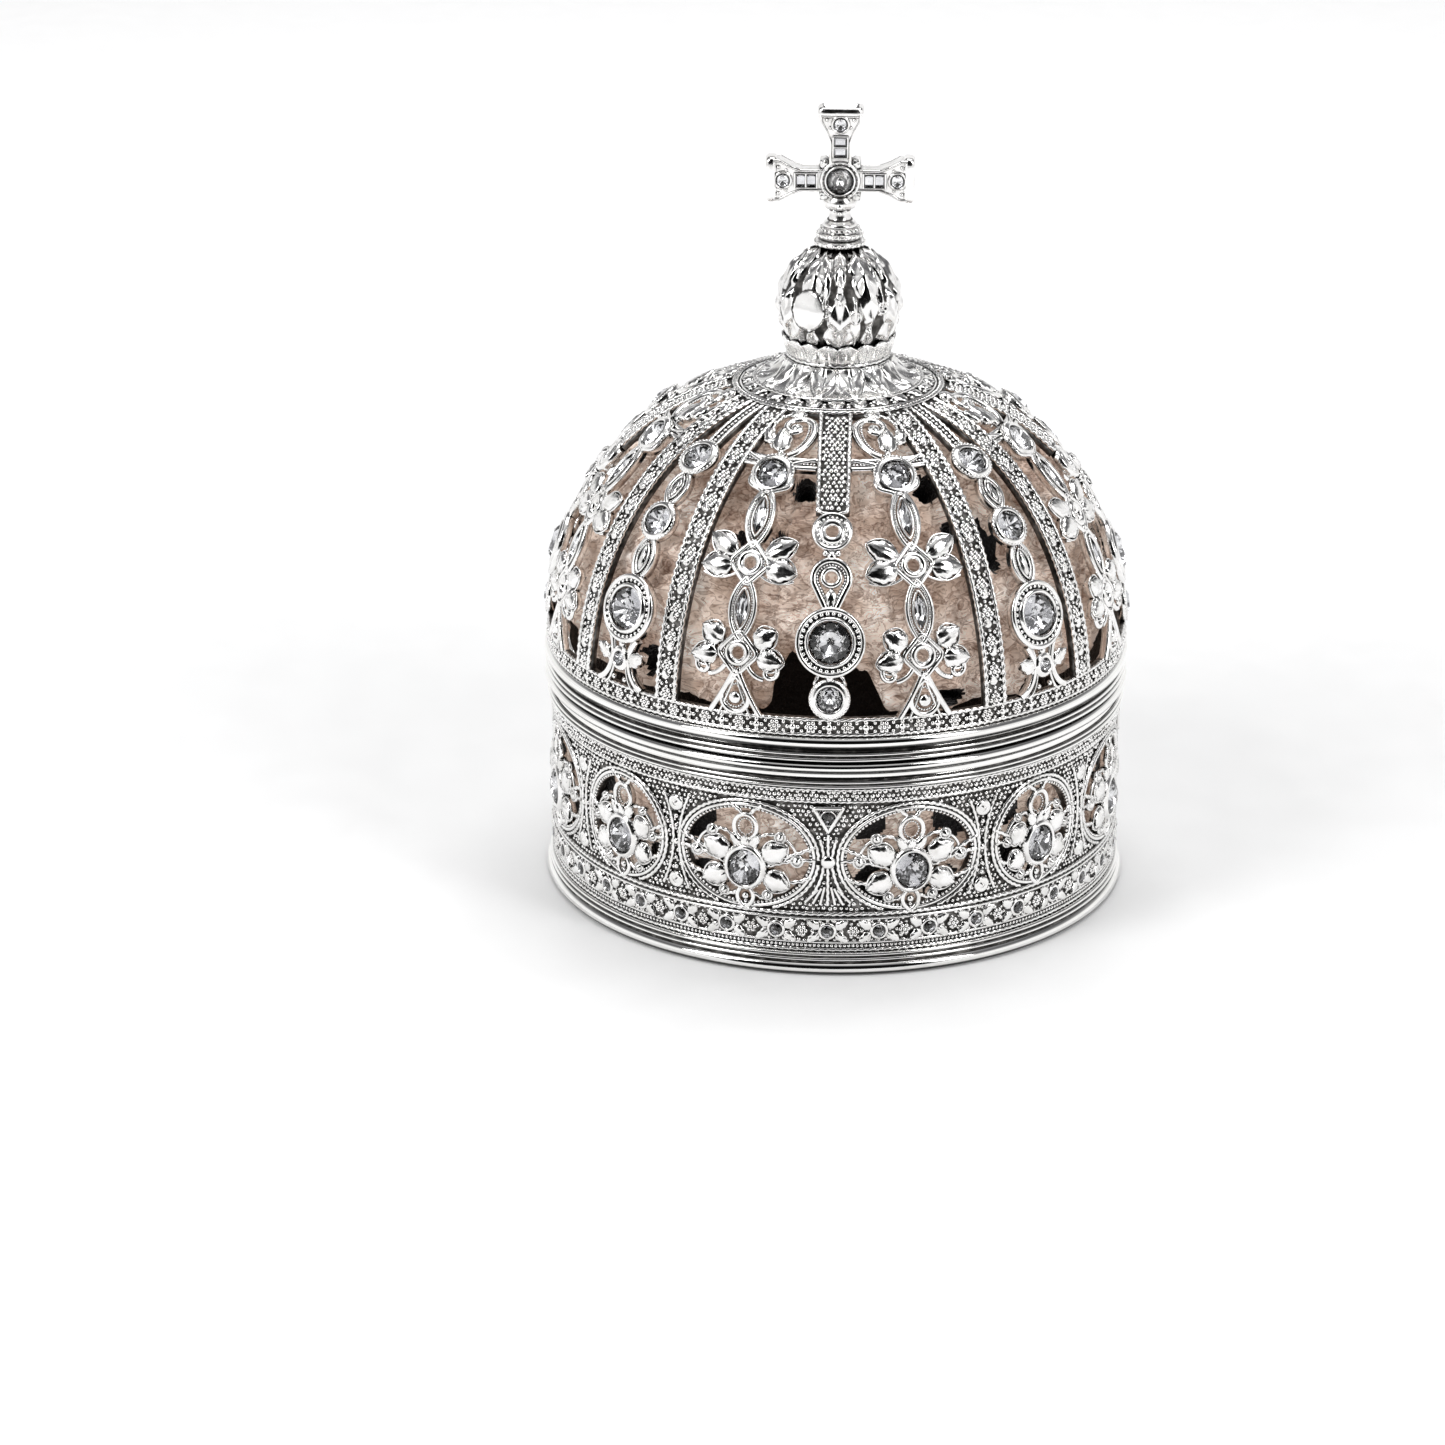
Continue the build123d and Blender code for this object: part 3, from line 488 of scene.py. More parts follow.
def brilliant(shape, place, radius, lift, oval=1.0, turn=0.0, deep=1.0):
    """Round cut: clear crown over a foil-backed pavilion, flat facets."""
    a8 = np.radians(np.arange(8) * 45 + turn)
    m8 = a8 + radians(22.5)
    a16 = np.radians(np.arange(16) * 22.5 + turn)

    def ring(r, angle, h):
        return np.stack([r * np.cos(angle), r * oval * np.sin(angle), 0 * angle + h], -1)

    rows = [
        ring(radius * 0.56, a8, radius * 0.34),
        ring(radius * 0.8, m8, radius * 0.22),
        ring(radius, a16, 0.06),
        ring(radius, a16, -0.06),
        ring(radius * 0.42, m8, -radius * 0.36 * deep),
        np.array([[0, 0, -radius * 0.6 * deep]]),
    ]
    p = np.concatenate(rows)
    points = place(p[:, 0], p[:, 1], p[:, 2] + lift)
    t, m, g, l, w, culet = 0, 8, 16, 32, 48, 56
    crown3, crown4, back3, back4 = [], [], [], []
    for k in range(8):
        j = (k + 1) % 8
        crown3 += [(t + k, m + k, t + j)]
        crown4 += [(t + j, m + k, g + (2 * k + 2) % 16, m + j)]
        crown3 += [(m + k, g + 2 * k, g + 2 * k + 1), (m + k, g + 2 * k + 1, g + (2 * k + 2) % 16)]
        back3 += [(l + 2 * k, w + k, l + 2 * k + 1), (l + 2 * k + 1, w + k, l + (2 * k + 2) % 16)]
        back4 += [(l + (2 * k + 2) % 16, w + k, culet, w + j)]
    girdle = [(g + i, l + i, l + (i + 1) % 16, g + (i + 1) % 16) for i in range(16)]
    table = [tuple(t + k for k in range(8))]
    shape.add(points, crown3, 0, False)
    shape.add(points, crown4, 0, False)
    shape.add(points, girdle, 0, False)
    shape.add(points, table, 0, False)
    shape.add(points, back3, 1, False)
    shape.add(points, back4, 1, False)


def marquise(shape, place, length, width, lift):
    """Pointed oval cut on the same plan."""
    outline = leaf(length, width, n=5)
    n = len(outline)
    table = outline * np.array([0.5, 0.62])
    p = np.concatenate([outline, outline, table])
    h = np.concatenate([np.full(n, 0.04), np.full(n, -0.06), np.full(n, width * 0.2)])
    low = outline * np.array([0.25, 0.45])
    p = np.concatenate([p, low])
    h = np.concatenate([h, np.full(n, -width * 0.26)]) + lift
    points = place(p[:, 0], p[:, 1], h)
    band, top, side, under = [], [], [], []
    for i in range(n):
        j = (i + 1) % n
        band += [(n + i, n + j, j, i)]
        top += [(i, j, 2 * n + j, 2 * n + i)]
        under += [(n + j, n + i, 3 * n + i, 3 * n + j)]
    shape.add(points, band + top, 0, False)
    shape.add(points, [tuple(2 * n + i for i in range(n))], 0, False)
    shape.add(points, under, 1, False)
    shape.add(points, [tuple(3 * n + i for i in reversed(range(n)))], 1, False)


# --- Materials ----------------------------------------------------------------------------
def new_material(name):
    material = bpy.data.materials.new(name)
    material.use_nodes = True
    tree = material.node_tree
    return material, tree.nodes, tree.links, tree.nodes["Principled BSDF"]


def texture(nodes, links, kind, scale, detail=4.0, stretch=None):
    """A procedural texture in object coordinates."""
    coords = nodes.new("ShaderNodeTexCoord")
    mapping = nodes.new("ShaderNodeMapping")
    mapping.inputs["Scale"].default_value = stretch or (1, 1, 1)
    links.new(coords.outputs["Object"], mapping.inputs["Vector"])
    node = nodes.new(kind)
    node.inputs["Scale"].default_value = scale
    if "Detail" in node.inputs:
        node.inputs["Detail"].default_value = detail
    links.new(mapping.outputs["Vector"], node.inputs["Vector"])
    return node


def ramp(nodes, links, source, stops):
    node = nodes.new("ShaderNodeValToRGB")
    node.color_ramp.elements[0].position = stops[0][0]
    node.color_ramp.elements[0].color = (*stops[0][1], 1)
    node.color_ramp.elements[1].position = stops[-1][0]
    node.color_ramp.elements[1].color = (*stops[-1][1], 1)
    for place, colour in stops[1:-1]:
        node.color_ramp.elements.new(place).color = (*colour, 1)
    links.new(source, node.inputs["Fac"])
    return node.outputs["Color"]


def spread(nodes, links, source, low, high, start=0.3, end=0.7):
    node = nodes.new("ShaderNodeMapRange")
    node.inputs["From Min"].default_value = start
    node.inputs["From Max"].default_value = end
    node.inputs["To Min"].default_value = low
    node.inputs["To Max"].default_value = high
    links.new(source, node.inputs["Value"])
    return node.outputs["Result"]


def bump(nodes, links, source, strength, distance, before=None):
    node = nodes.new("ShaderNodeBump")
    node.inputs["Strength"].default_value = strength
    node.inputs["Distance"].default_value = distance
    links.new(source, node.inputs["Height"])
    if before is not None:
        links.new(before, node.inputs["Normal"])
    return node.outputs["Normal"]


def times(nodes, links, colour, shade):
    node = nodes.new("ShaderNodeMix")
    node.data_type = "RGBA"
    node.blend_type = "MULTIPLY"
    node.inputs["Factor"].default_value = 1.0
    links.new(colour, node.inputs[6])
    links.new(shade, node.inputs[7])
    return node.outputs[2]


def painted_crevice_shade(nodes, links, reach, low, high):
    """Painted shade: white on open surfaces, near black down in the crevices, from ambient occlusion."""
    node = nodes.new("ShaderNodeAmbientOcclusion")
    node.samples = 4
    node.inputs["Distance"].default_value = reach
    return ramp(nodes, links, node.outputs["AO"], [(low, (0.015, 0.014, 0.013)), (high, (1, 1, 1))])


def painted_underside_shade(nodes, links):
    """Painted shade: white where the metal faces out or up, dark under a moulding."""
    where = nodes.new("ShaderNodeNewGeometry")
    parts = nodes.new("ShaderNodeSeparateXYZ")
    links.new(where.outputs["Normal"], parts.inputs["Vector"])
    level = spread(nodes, links, parts.outputs["Z"], 0.0, 1.0, -1.0, 1.0)
    return ramp(nodes, links, level, [(0.14, (0.02, 0.02, 0.02)), (0.3, (0.05, 0.05, 0.05)), (0.4, (1, 1, 1))])


def metal(name, stops, rough, scale, relief, fine=3500.0, reach=0.0):
    """Metal whose tone, gloss and surface vary at two scales; with a reach, painted shade darkens its crevices."""
    material, nodes, links, surface = new_material(name)
    broad = texture(nodes, links, "ShaderNodeTexNoise", scale)
    close = texture(nodes, links, "ShaderNodeTexNoise", fine, 2.0)
    colour = ramp(nodes, links, broad.outputs["Fac"], stops)
    # Painted shade in the crevices, by ambient occlusion within the reach.
    if reach:
        colour = times(nodes, links, colour, painted_crevice_shade(nodes, links, reach, 0.3, 0.72))
    links.new(colour, surface.inputs["Base Color"])
    gloss = texture(nodes, links, "ShaderNodeTexNoise", scale * 2.3)
    links.new(spread(nodes, links, gloss.outputs["Fac"], *rough), surface.inputs["Roughness"])
    surface.inputs["Metallic"].default_value = 1.0
    dents = bump(nodes, links, broad.outputs["Fac"], relief, 0.00025)
    links.new(bump(nodes, links, close.outputs["Fac"], relief, 0.00004, dents), surface.inputs["Normal"])
    return material


def polished(name):
    """Mirror silver with fine wiping marks round it, a few cloudy spots and painted shade under the mouldings."""
    material, nodes, links, surface = new_material(name)
    cloud = texture(nodes, links, "ShaderNodeTexNoise", 60.0, 5.0)
    marks = texture(nodes, links, "ShaderNodeTexNoise", 900.0, 2.0, (0.06, 0.06, 3.0))
    colour = ramp(nodes, links, cloud.outputs["Fac"], [(0.3, (0.86, 0.85, 0.83)), (0.6, (0.96, 0.955, 0.94))])
    # Painted shade on the undersides, set by the direction the surface faces.
    colour = times(nodes, links, colour, painted_underside_shade(nodes, links))
    links.new(colour, surface.inputs["Base Color"])
    links.new(spread(nodes, links, cloud.outputs["Fac"], 0.09, 0.03), surface.inputs["Roughness"])
    surface.inputs["Metallic"].default_value = 1.0
    links.new(bump(nodes, links, marks.outputs["Fac"], 0.04, 0.00001), surface.inputs["Normal"])
    return material


def clear_glass(name):
    material, nodes, links, surface = new_material(name)
    haze = texture(nodes, links, "ShaderNodeTexNoise", 500.0)
    colour = ramp(nodes, links, haze.outputs["Fac"], [(0.35, (0.96, 0.965, 0.97)), (0.65, (1.0, 1.0, 1.0))])
    links.new(colour, surface.inputs["Base Color"])
    links.new(spread(nodes, links, haze.outputs["Fac"], 0.0, 0.02), surface.inputs["Roughness"])
    surface.inputs["Transmission Weight"].default_value = 1.0
    surface.inputs["IOR"].default_value = 1.62
    return material


def cloth(name, stops, weave, crease, sheen, rough, painted_glow=0.0):
    """Fabric: mottled colour, a fine weave and small creases; with a glow it also gets painted shade along crease and
    fold lines, darker broad patches, and a painted glow.
    """
    material, nodes, links, surface = new_material(name)
    mottle = texture(nodes, links, "ShaderNodeTexNoise", 110.0, 6.0)
    small = texture(nodes, links, "ShaderNodeTexVoronoi", crease)
    across = texture(nodes, links, "ShaderNodeTexNoise", weave, 1.0, (1.0, 1.0, 0.25))
    colour = ramp(nodes, links, mottle.outputs["Fac"], stops)
    # Painted light and shade: dark crease and fold lines in the colour, and the colour glows as if lit through.
    if painted_glow:
        crease_shade_noise = texture(nodes, links, "ShaderNodeTexNoise", crease * 0.62, 3.0, (1.0, 1.0, 2.1))
        crease_shade_noise.inputs["Distortion"].default_value = 0.9
        painted_crease_lines = ramp(nodes, links, crease_shade_noise.outputs["Fac"], [
            (0.36, (0.85, 0.83, 0.81)), (0.43, (0.42, 0.35, 0.31)), (0.45, (1, 1, 1)), (0.52, (0.9, 0.88, 0.86)),
            (0.56, (0.5, 0.43, 0.39)), (0.58, (1, 1, 1)), (0.66, (0.94, 0.93, 0.92)),
        ])
        patches = texture(nodes, links, "ShaderNodeTexNoise", 42.0, 3.0)
        broad = ramp(nodes, links, patches.outputs["Fac"], [(0.4, (0.66, 0.6, 0.56)), (0.52, (1, 1, 1))])
        large = texture(nodes, links, "ShaderNodeTexNoise", crease * 0.3, 4.0, (1.0, 1.0, 1.8))
        large.inputs["Distortion"].default_value = 1.2
        deep = ramp(nodes, links, large.outputs["Fac"], [(0.4, (1, 1, 1)), (0.475, (0.5, 0.43, 0.39)), (0.49, (1, 1, 1)), (0.6, (0.86, 0.83, 0.8))])
        colour = times(nodes, links, times(nodes, links, times(nodes, links, colour, painted_crease_lines), deep), broad)
        links.new(colour, surface.inputs["Emission Color"])
        surface.inputs["Emission Strength"].default_value = painted_glow
    links.new(colour, surface.inputs["Base Color"])
    links.new(spread(nodes, links, mottle.outputs["Fac"], *rough), surface.inputs["Roughness"])
    surface.inputs["Sheen Weight"].default_value = sheen
    surface.inputs["Sheen Roughness"].default_value = 0.4
    creases = bump(nodes, links, small.outputs["Distance"], 0.6, 0.001)
    creases = bump(nodes, links, mottle.outputs["Fac"], 0.8, 0.0016, creases)
    links.new(bump(nodes, links, across.outputs["Fac"], 0.25, 0.00008, creases), surface.inputs["Normal"])
    return material


SILVER_WHITE = [(0.3, (0.78, 0.77, 0.75)), (0.5, (0.92, 0.91, 0.9)), (0.7, (0.97, 0.965, 0.955))]
OXIDISED = [(0.3, (0.02, 0.019, 0.018)), (0.5, (0.07, 0.066, 0.062)), (0.72, (0.26, 0.25, 0.24))]
POLISHED = polished("silver_polished")
# Bright and satin silver get painted shade in their crevices (the reach argument).
BRIGHT_SILVER = metal("silver_bright", SILVER_WHITE, (0.07, 0.22), 300.0, 0.25, reach=0.0011)
DARK_SILVER = metal("silver_oxidised", OXIDISED, (0.3, 0.6), 420.0, 0.8)
SATIN_SILVER = metal("silver_satin", SILVER_WHITE, (0.12, 0.3), 260.0, 0.4, reach=0.0014)
BRASS = metal("brass_satin", [(0.3, (0.62, 0.47, 0.22)), (0.7, (0.83, 0.68, 0.38))], (0.22, 0.4), 200.0, 0.3)
GLASS = clear_glass("stone_clear")
FOIL = metal("stone_foil", [(0.3, (0.6, 0.6, 0.62)), (0.7, (0.97, 0.97, 0.98))], (0.03, 0.1), 260.0, 0.05)
# Champagne silk with painted crease shade and a painted glow (the last argument).
SILK = cloth(
    "silk_champagne",
    [(0.3, (0.4, 0.29, 0.235)), (0.42, (0.72, 0.585, 0.5)), (0.54, (0.88, 0.76, 0.68)), (0.68, (0.98, 0.92, 0.87))],
    1500.0, 330.0, 0.3, (0.3, 0.55), 0.42,
)
VELVET = cloth("velvet_black", [(0.3, (0.006, 0.005, 0.005)), (0.7, (0.022, 0.02, 0.02))], 2600.0, 700.0, 0.5, (0.75, 0.95))
SILVER = [BRIGHT_SILVER, DARK_SILVER, SATIN_SILVER]


# --- Pieces -------------------------------------------------------------------------------
def rolls(items, steps=11):
    """Outline of stacked round mouldings from (outermost radius, bulge, low, high)."""
    points = []
    for radius, bulge, low, high in items:
        a = np.linspace(-pi / 2, pi / 2, steps)
        r = radius - bulge + bulge * np.cos(a)
        z = (low + high) / 2 + (high - low) / 2 * np.sin(a)
        points += list(np.stack([r, z], -1))
    return points


def groove(shape, radius, z, half=0.2):
    """Dark line that fills the bottom of a groove between two rolls."""
    turned(shape, [(radius - 0.4, z), (radius, z - half), (radius, z + half)], 1)


def make_foot_ring():
    shape = Shape()
    outer = rolls([(RIM_R, 1.5, 0.0, 2.75), (RIM_R - 0.6, 0.7, 2.85, 3.8), (RIM_R - 0.8, 0.6, 3.9, FOOT_TOP)])
    inner = WALL_R - WALL_T
    turned(shape, outer + [(WALL_R - 0.3, FOOT_TOP), (inner, FOOT_TOP), (inner, 0.3), (inner + 0.3, 0.0)], 0)
    groove(shape, RIM_R - 0.75, 2.8)
    groove(shape, RIM_R - 1.05, 3.85)
    shape.build("vis_foot_ring", "box", "silver_polished", [POLISHED, DARK_SILVER], ["foot_ring"])


def make_box_rim():
    shape = Shape()
    low, top = RIM_LOW, SEAM
    outer = rolls([(RIM_R - 0.6, 0.6, low, low + 0.9), (RIM_R - 0.7, 0.5, low + 1.0, low + 1.8)])
    outer += [(RIM_R - 1.35, low + 2.0), (RIM_R - 1.6, low + 2.7), (RIM_R - 1.3, low + 3.4)]
    outer += rolls([(RIM_R, 1.2, top - 2.3, top - 0.15)], 15)
    bore = side_of("lid_spigot", 1, 0) - 0.0
    outer += [(RIM_R - 2.0, top), (bore + 0.2, top), (bore, top - 0.3), (bore, low)]
    turned(shape, outer, 0)
    for radius, z in ((RIM_R - 0.85, low + 0.95), (RIM_R - 1.2, low + 1.9), (RIM_R - 1.3, top - 2.35)):
        groove(shape, radius, z)
    shape.build("vis_box_rim", "box", "silver_polished", [POLISHED, DARK_SILVER], ["box_rim"])


def make_lid_rim():
    shape = Shape()
    low, top = LID_LOW, FLANGE_TOP
    outer = rolls([(RIM_R - 0.3, 0.6, low, low + 1.0), (RIM_R - 0.5, 0.6, low + 1.15, low + 2.05)])
    outer += [(RIM_R - 1.5, low + 2.3), (RIM_R - 1.5, low + 2.7)]
    outer += rolls([(RIM_R, 1.3, top - 2.7, top - 0.1)], 17)
    outer += [(RIM_R - 2.2, top), (58.3, top), (58.3, low)]
    turned(shape, outer, 0)
    for radius, z in ((RIM_R - 0.75, low + 1.08), (RIM_R - 1.25, low + 2.2), (RIM_R - 1.3, top - 2.72)):
        groove(shape, radius, z)
    shape.build("vis_lid_rim", "lid", "silver_polished", [POLISHED, DARK_SILVER], ["lid_rim"])


def turned_band(shape, place, low, high, inner, outer, slot=GROUND):
    """Plain ring under the granulation, from two heights and two radii."""
    turned(shape, [(inner, low), (outer, low), (outer, high), (inner, high)], slot)


def around(place_at, step, start=0.0):
    """Azimuths at an even step in degrees."""
    return [place_at(start + i * step) for i in range(int(round(360 / step)))]


def full_circle(radius):
    return 2 * pi * radius


def ring_path(radius, y, n=720):
    """Path once round a wall of a radius at one height, as (distance, height)."""
    return np.stack([np.arange(n) * full_circle(radius) / n, np.full(n, y)], -1)


def ring_beads(shape, radius, z, size, h=0.0, gap=1.04, start=0.0):
    count = int(full_circle(radius) / (2 * size * gap))
    x = (np.arange(count) + start) * full_circle(radius) / count
    beads(shape, on_wall(0, 0, radius), x, z + 0 * x, size, BRIGHT, h)


def ring_wire(shape, radius, z, size, h=0.0, pitch=None):
    """Closed wire round the drum."""
    n = int(full_circle(radius) / (0.34 if pitch else 0.8))
    sides = 8 if pitch else 6
    a = np.arange(n) * 2 * pi / n
    around_wire = np.arange(sides) * 2 * pi / sides
    r = np.full((n, sides), float(size))
    if pitch:
        strands = round(full_circle(radius) / pitch)
        r = size * (1 + 0.3 * np.cos(2 * (around_wire[None] - a[:, None] * strands / 2)))
    out = radius + h + r * np.sin(around_wire)
    up = z + r * np.cos(around_wire)
    points = np.stack([out * np.sin(a)[:, None], -out * np.cos(a)[:, None], up], -1)
    patch(shape, points[:, ::-1], BRIGHT, wrap_rows=True, wrap_cols=True)


STONES_Z = 9.4
BAND_STONES = 36


def make_lower_band():
    shape = Shape()
    turned_band(shape, None, FOOT_TOP, PANEL_LOW, WALL_R - WALL_T, BAND_R - 0.45)
    r = BAND_R - 0.45
    ring_wire(shape, r, FOOT_TOP + 0.45, 0.42, 0.05, 1.5)
    ring_beads(shape, r, FOOT_TOP + 1.3, 0.42)
    ring_wire(shape, r, FOOT_TOP + 2.1, 0.34, 0.05)
    ring_wire(shape, r, PANEL_LOW - 1.5, 0.34, 0.05)
    ring_wire(shape, r, PANEL_LOW - 0.45, 0.42, 0.05, 1.5)
    scatter(shape, on_wall(0, STONES_Z, r), (0, -2.4), (full_circle(r), 2.6), lambda x, y: np.abs(y) < 2.6, 1.42, (0.42, 0.66), -0.15)
    for i in range(BAND_STONES):
        place = on_wall(i * 360 / BAND_STONES, STONES_Z, r)
        turned_on(shape, place, [(1.95, -0.2), (1.95, 0.3), (1.8, 0.5), (1.6, 0.6), (1.4, 0.62), (1.3, 0.5), (1.28, 0.1), (0.8, -0.5)], BRIGHT, 24)
        half = full_circle(r) / BAND_STONES / 2
        for side in (-1, 1):
            for lift in (-1, 1):
                petal(shape, moved(place, side * 1.6, lift * 0.5, -side * (90 - lift * 36)), 3.2, 2.1, 0.6, -0.2, 0.1)
        floret(shape, moved(place, half, 0.0), 0, 0.0, 1.25, 6, 0.25)
        beads(shape, place, [0, 0, -1.5, 1.5, -1.5, 1.5], [2.2, -2.1, 2.1, 2.1, -1.9, -1.9], 0.42, BRIGHT)
    shape.build("vis_lower_band", "box", "silver_granulated", SILVER, ["lower_band"])


def make_upper_band():
    shape = Shape()
    turned_band(shape, None, PANEL_HIGH, RIM_LOW, WALL_R - WALL_T, BAND_R - 0.45)
    r = BAND_R - 0.45
    ring_wire(shape, r, PANEL_HIGH + 0.4, 0.36, 0.05, 1.4)
    ring_wire(shape, r, RIM_LOW - 0.4, 0.36, 0.05, 1.4)
    middle = (PANEL_HIGH + RIM_LOW) / 2
    place = on_wall(0, middle, r)
    height = (RIM_LOW - PANEL_HIGH) / 2 - 0.75
    scatter(shape, place, (0, -height), (full_circle(r), height + 0.2), lambda x, y: np.abs(y) < height + 0.2, 1.05, (0.4, 0.62), -0.05)
    shape.build("vis_upper_band", "box", "silver_granulated", SILVER, ["upper_band"])


ROUNDEL_Z = 24.9
ROUNDEL_AZIMUTH = 16.2
ROUNDEL_HALF = 13.9
CORNER_HALF = 10.8
ROUNDEL_RISE = 10.8
MM_PER_DEGREE = WALL_R * pi / 180


def in_roundel(x, z, grow=0.0):
    """Whether points of a quarter's flat wall are inside one of its openings."""
    found = np.zeros(np.shape(x), dtype=bool)
    for centre, half in ((-45, CORNER_HALF), (-ROUNDEL_AZIMUTH, ROUNDEL_HALF), (ROUNDEL_AZIMUTH, ROUNDEL_HALF), (45, CORNER_HALF)):
        u = (x - centre * MM_PER_DEGREE) / (half + grow)
        v = (z - ROUNDEL_Z) / (ROUNDEL_RISE + grow)
        found |= u**2 + v**2 < 1
    return found


def holed_sheet(low, high, holes, inside, pitch):
    """Triangles of a flat rectangle with elliptical holes: points and faces."""
    points = []
    for centre_x, centre_y, half, rise in holes:
        points += list(loop(centre_x, centre_y, half, rise / half, 96))
    xs = np.linspace(low[0], high[0], int((high[0] - low[0]) / pitch) + 1)
    ys = np.linspace(low[1], high[1], int((high[1] - low[1]) / pitch) + 1)
    gx, gy = np.meshgrid(xs, ys)
    gx, gy = gx.ravel(), gy.ravel()
    free = ~inside(gx, gy, pitch * 0.3)
    edge = (gx == xs[0]) | (gx == xs[-1]) | (gy == ys[0]) | (gy == ys[-1])
    points += list(np.stack([gx, gy], -1)[free | (edge & ~inside(gx, gy, 0.0))])
    points = [p for p in points if low[0] <= p[0] <= high[0] and low[1] <= p[1] <= high[1]]
    out = delaunay_2d_cdt([Vector((float(p[0]), float(p[1]))) for p in points], [], [], 0, 1e-6)
    flat = np.array([[v.x, v.y] for v in out[0]])
    faces = np.array(out[2])
    middle = flat[faces].mean(1)
    return flat, faces[~inside(middle[:, 0], middle[:, 1], -0.12)]


def make_wall_panel(name, azimuth):
    shape = Shape()
    place = on_wall(azimuth)
    half = 45 * MM_PER_DEGREE
    holes = [(c * MM_PER_DEGREE, ROUNDEL_Z, w, ROUNDEL_RISE) for c, w in ((-45, CORNER_HALF), (-ROUNDEL_AZIMUTH, ROUNDEL_HALF), (ROUNDEL_AZIMUTH, ROUNDEL_HALF), (45, CORNER_HALF))]
    flat, faces = holed_sheet((-half, PANEL_LOW), (half, PANEL_HIGH), holes, in_roundel, 1.9)
    shape.add(place(flat[:, 0], flat[:, 1], -0.35), faces, GROUND)
    shape.add(place(flat[:, 0], flat[:, 1], -WALL_T), faces[:, ::-1], GROUND)
    for centre, y, w, rise in holes:
        whole = abs(centre) < 30
        turn = (0, 360) if whole else ((90, 270) if centre > 0 else (-90, 90))
        edge = arc(centre, y, w, *turn, rise / w, 80)
        edge = edge[:-1] if whole else edge
        rim = np.stack([place(edge[:, 0], edge[:, 1], h) for h in (-WALL_T, -0.3)], 1)
        patch(shape, rim, GROUND, wrap_rows=whole)
        inner = arc(centre, y, w - 0.38, *turn, (rise - 0.38) / (w - 0.38), 80)
        inner = inner[:-1] if whole else inner
        ribbon(shape, place, inner, 0.76, -WALL_T, -0.3, GROUND, whole, 0.1)
        beaded(shape, place, inner, 0.4, BRIGHT, -0.1, whole, 1.12)
        for out, size, level, pitch in ((0.25, 0.42, 0.0, None), (1.15, 0.4, 0.0, 1.4)):
            line = arc(centre, y, w + out, *turn, (rise + out) / (w + out), 80)
            line = line[:-1] if whole else line
            keep = (line[:, 1] > PANEL_LOW + 0.1) & (line[:, 1] < PANEL_HIGH - 0.1)
            if keep.all():
                wire(shape, place, line, size, BRIGHT, level, whole, 8 if pitch else 6, pitch)
            else:
                runs = np.split(np.arange(len(line)), np.where(np.diff(keep.astype(int)))[0] + 1)
                for run in runs:
                    if keep[run[0]] and len(run) > 3:
                        wire(shape, place, line[run], size, BRIGHT, level, False, 8 if pitch else 6, pitch)
    scatter(
        shape, place, (-half + 0.5, PANEL_LOW + 0.5), (half - 0.2, PANEL_HIGH - 0.3),
        lambda x, y: ~in_roundel(x, y, 1.75), 1.12, (0.34, 0.6), -0.3,
    )
    spindle(shape, place)
    for side in (-1, 1):
        small_spindle(shape, moved(place, side * 31.2 * MM_PER_DEGREE, 0))
    shape.build(f"vis_{name}", "box", "silver_granulated", SILVER, [name])


def spindle(shape, place):
    """Between two roundels: a triangular setting, a waisted stem and a ribbed foot."""
    top = 34.2
    triangle = np.array([[-3.0, top + 2.2], [3.0, top + 2.2], [0.0, top - 3.0]])
    ribbon(shape, place, spaced(triangle, 0.5, True), 0.8, -0.3, 0.75, BRIGHT, True, step=0.5)
    beaded(shape, place, spaced(triangle * 0.72 + np.array([0, top * 0.28 + 0.05]), 0.4, True), 0.26, BRIGHT, 0.1, True)
    turned_on(shape, moved(place, 0, top), [(1.75, -0.3), (1.75, 0.5), (1.65, 0.65), (1.5, 0.6), (1.45, 0.1), (1.0, -0.4)], BRIGHT, 24)
    for x0, low, high in ((-1.15, 17.5, 29.5), (0.0, 15.4, 30.6), (1.15, 17.5, 29.5)):
        sway = bent([(x0 * 2.6, low), (x0 * 0.75, (low + high) / 2 + 0.5), (x0 * 1.5, high)])
        wire(shape, place, sway, 0.36, BRIGHT, 0.1, sides=8, pitch=1.4)
    turned_on(shape, moved(place, 0, 24.6), [(1.5, -0.3), (1.6, 0.3), (1.2, 0.75), (0.6, 0.95), (0.02, 1.0)], BRIGHT, 20)
    for x0 in (-4.6, -3.0, -1.5, 0, 1.5, 3.0, 4.6):
        line = [(x0 * 0.42, 19.4 - abs(x0) * 0.2), (x0, 15.0 + abs(x0) * 0.12)]
        wire(shape, place, line, 0.34, BRIGHT, 0.05)


def small_spindle(shape, place):
    """The narrower neck beside a corner roundel."""
    for side in (-1, 1):
        sway = bent([(side * 3.0, 35.6), (side * 0.7, 25.0), (side * 3.2, 15.2)])
        wire(shape, place, sway, 0.34, BRIGHT, 0.1, sides=8, pitch=1.4)
    for y in (33.6, 16.6):
        turned_on(shape, moved(place, 0, y), [(1.7, -0.3), (1.75, 0.35), (1.3, 0.8), (0.9, 0.5), (0.7, 0.55), (0.02, 0.95)], BRIGHT, 20)
    beads(shape, place, [0, 0, 0, 0, 0], [30.6, 28.6, 25.0, 21.4, 19.4], [0.6, 0.5, 0.8, 0.5, 0.6], BRIGHT, 0.1)


def blob(shape, place, x0, y0, radius, h=0.3):
    """Round cast leaf end: a knob in a curled rim."""
    spot = moved(place, x0, y0)
    turned_on(shape, spot, [(radius, -0.9), (radius, 0.1), (radius * 0.85, 0.6 + h * 0.3), (radius * 0.68, 0.3), (radius * 0.6, 0.35), (radius * 0.35, 0.85 + h * 0.3), (0.02, 1.0 + h * 0.3)], BRIGHT, 22)


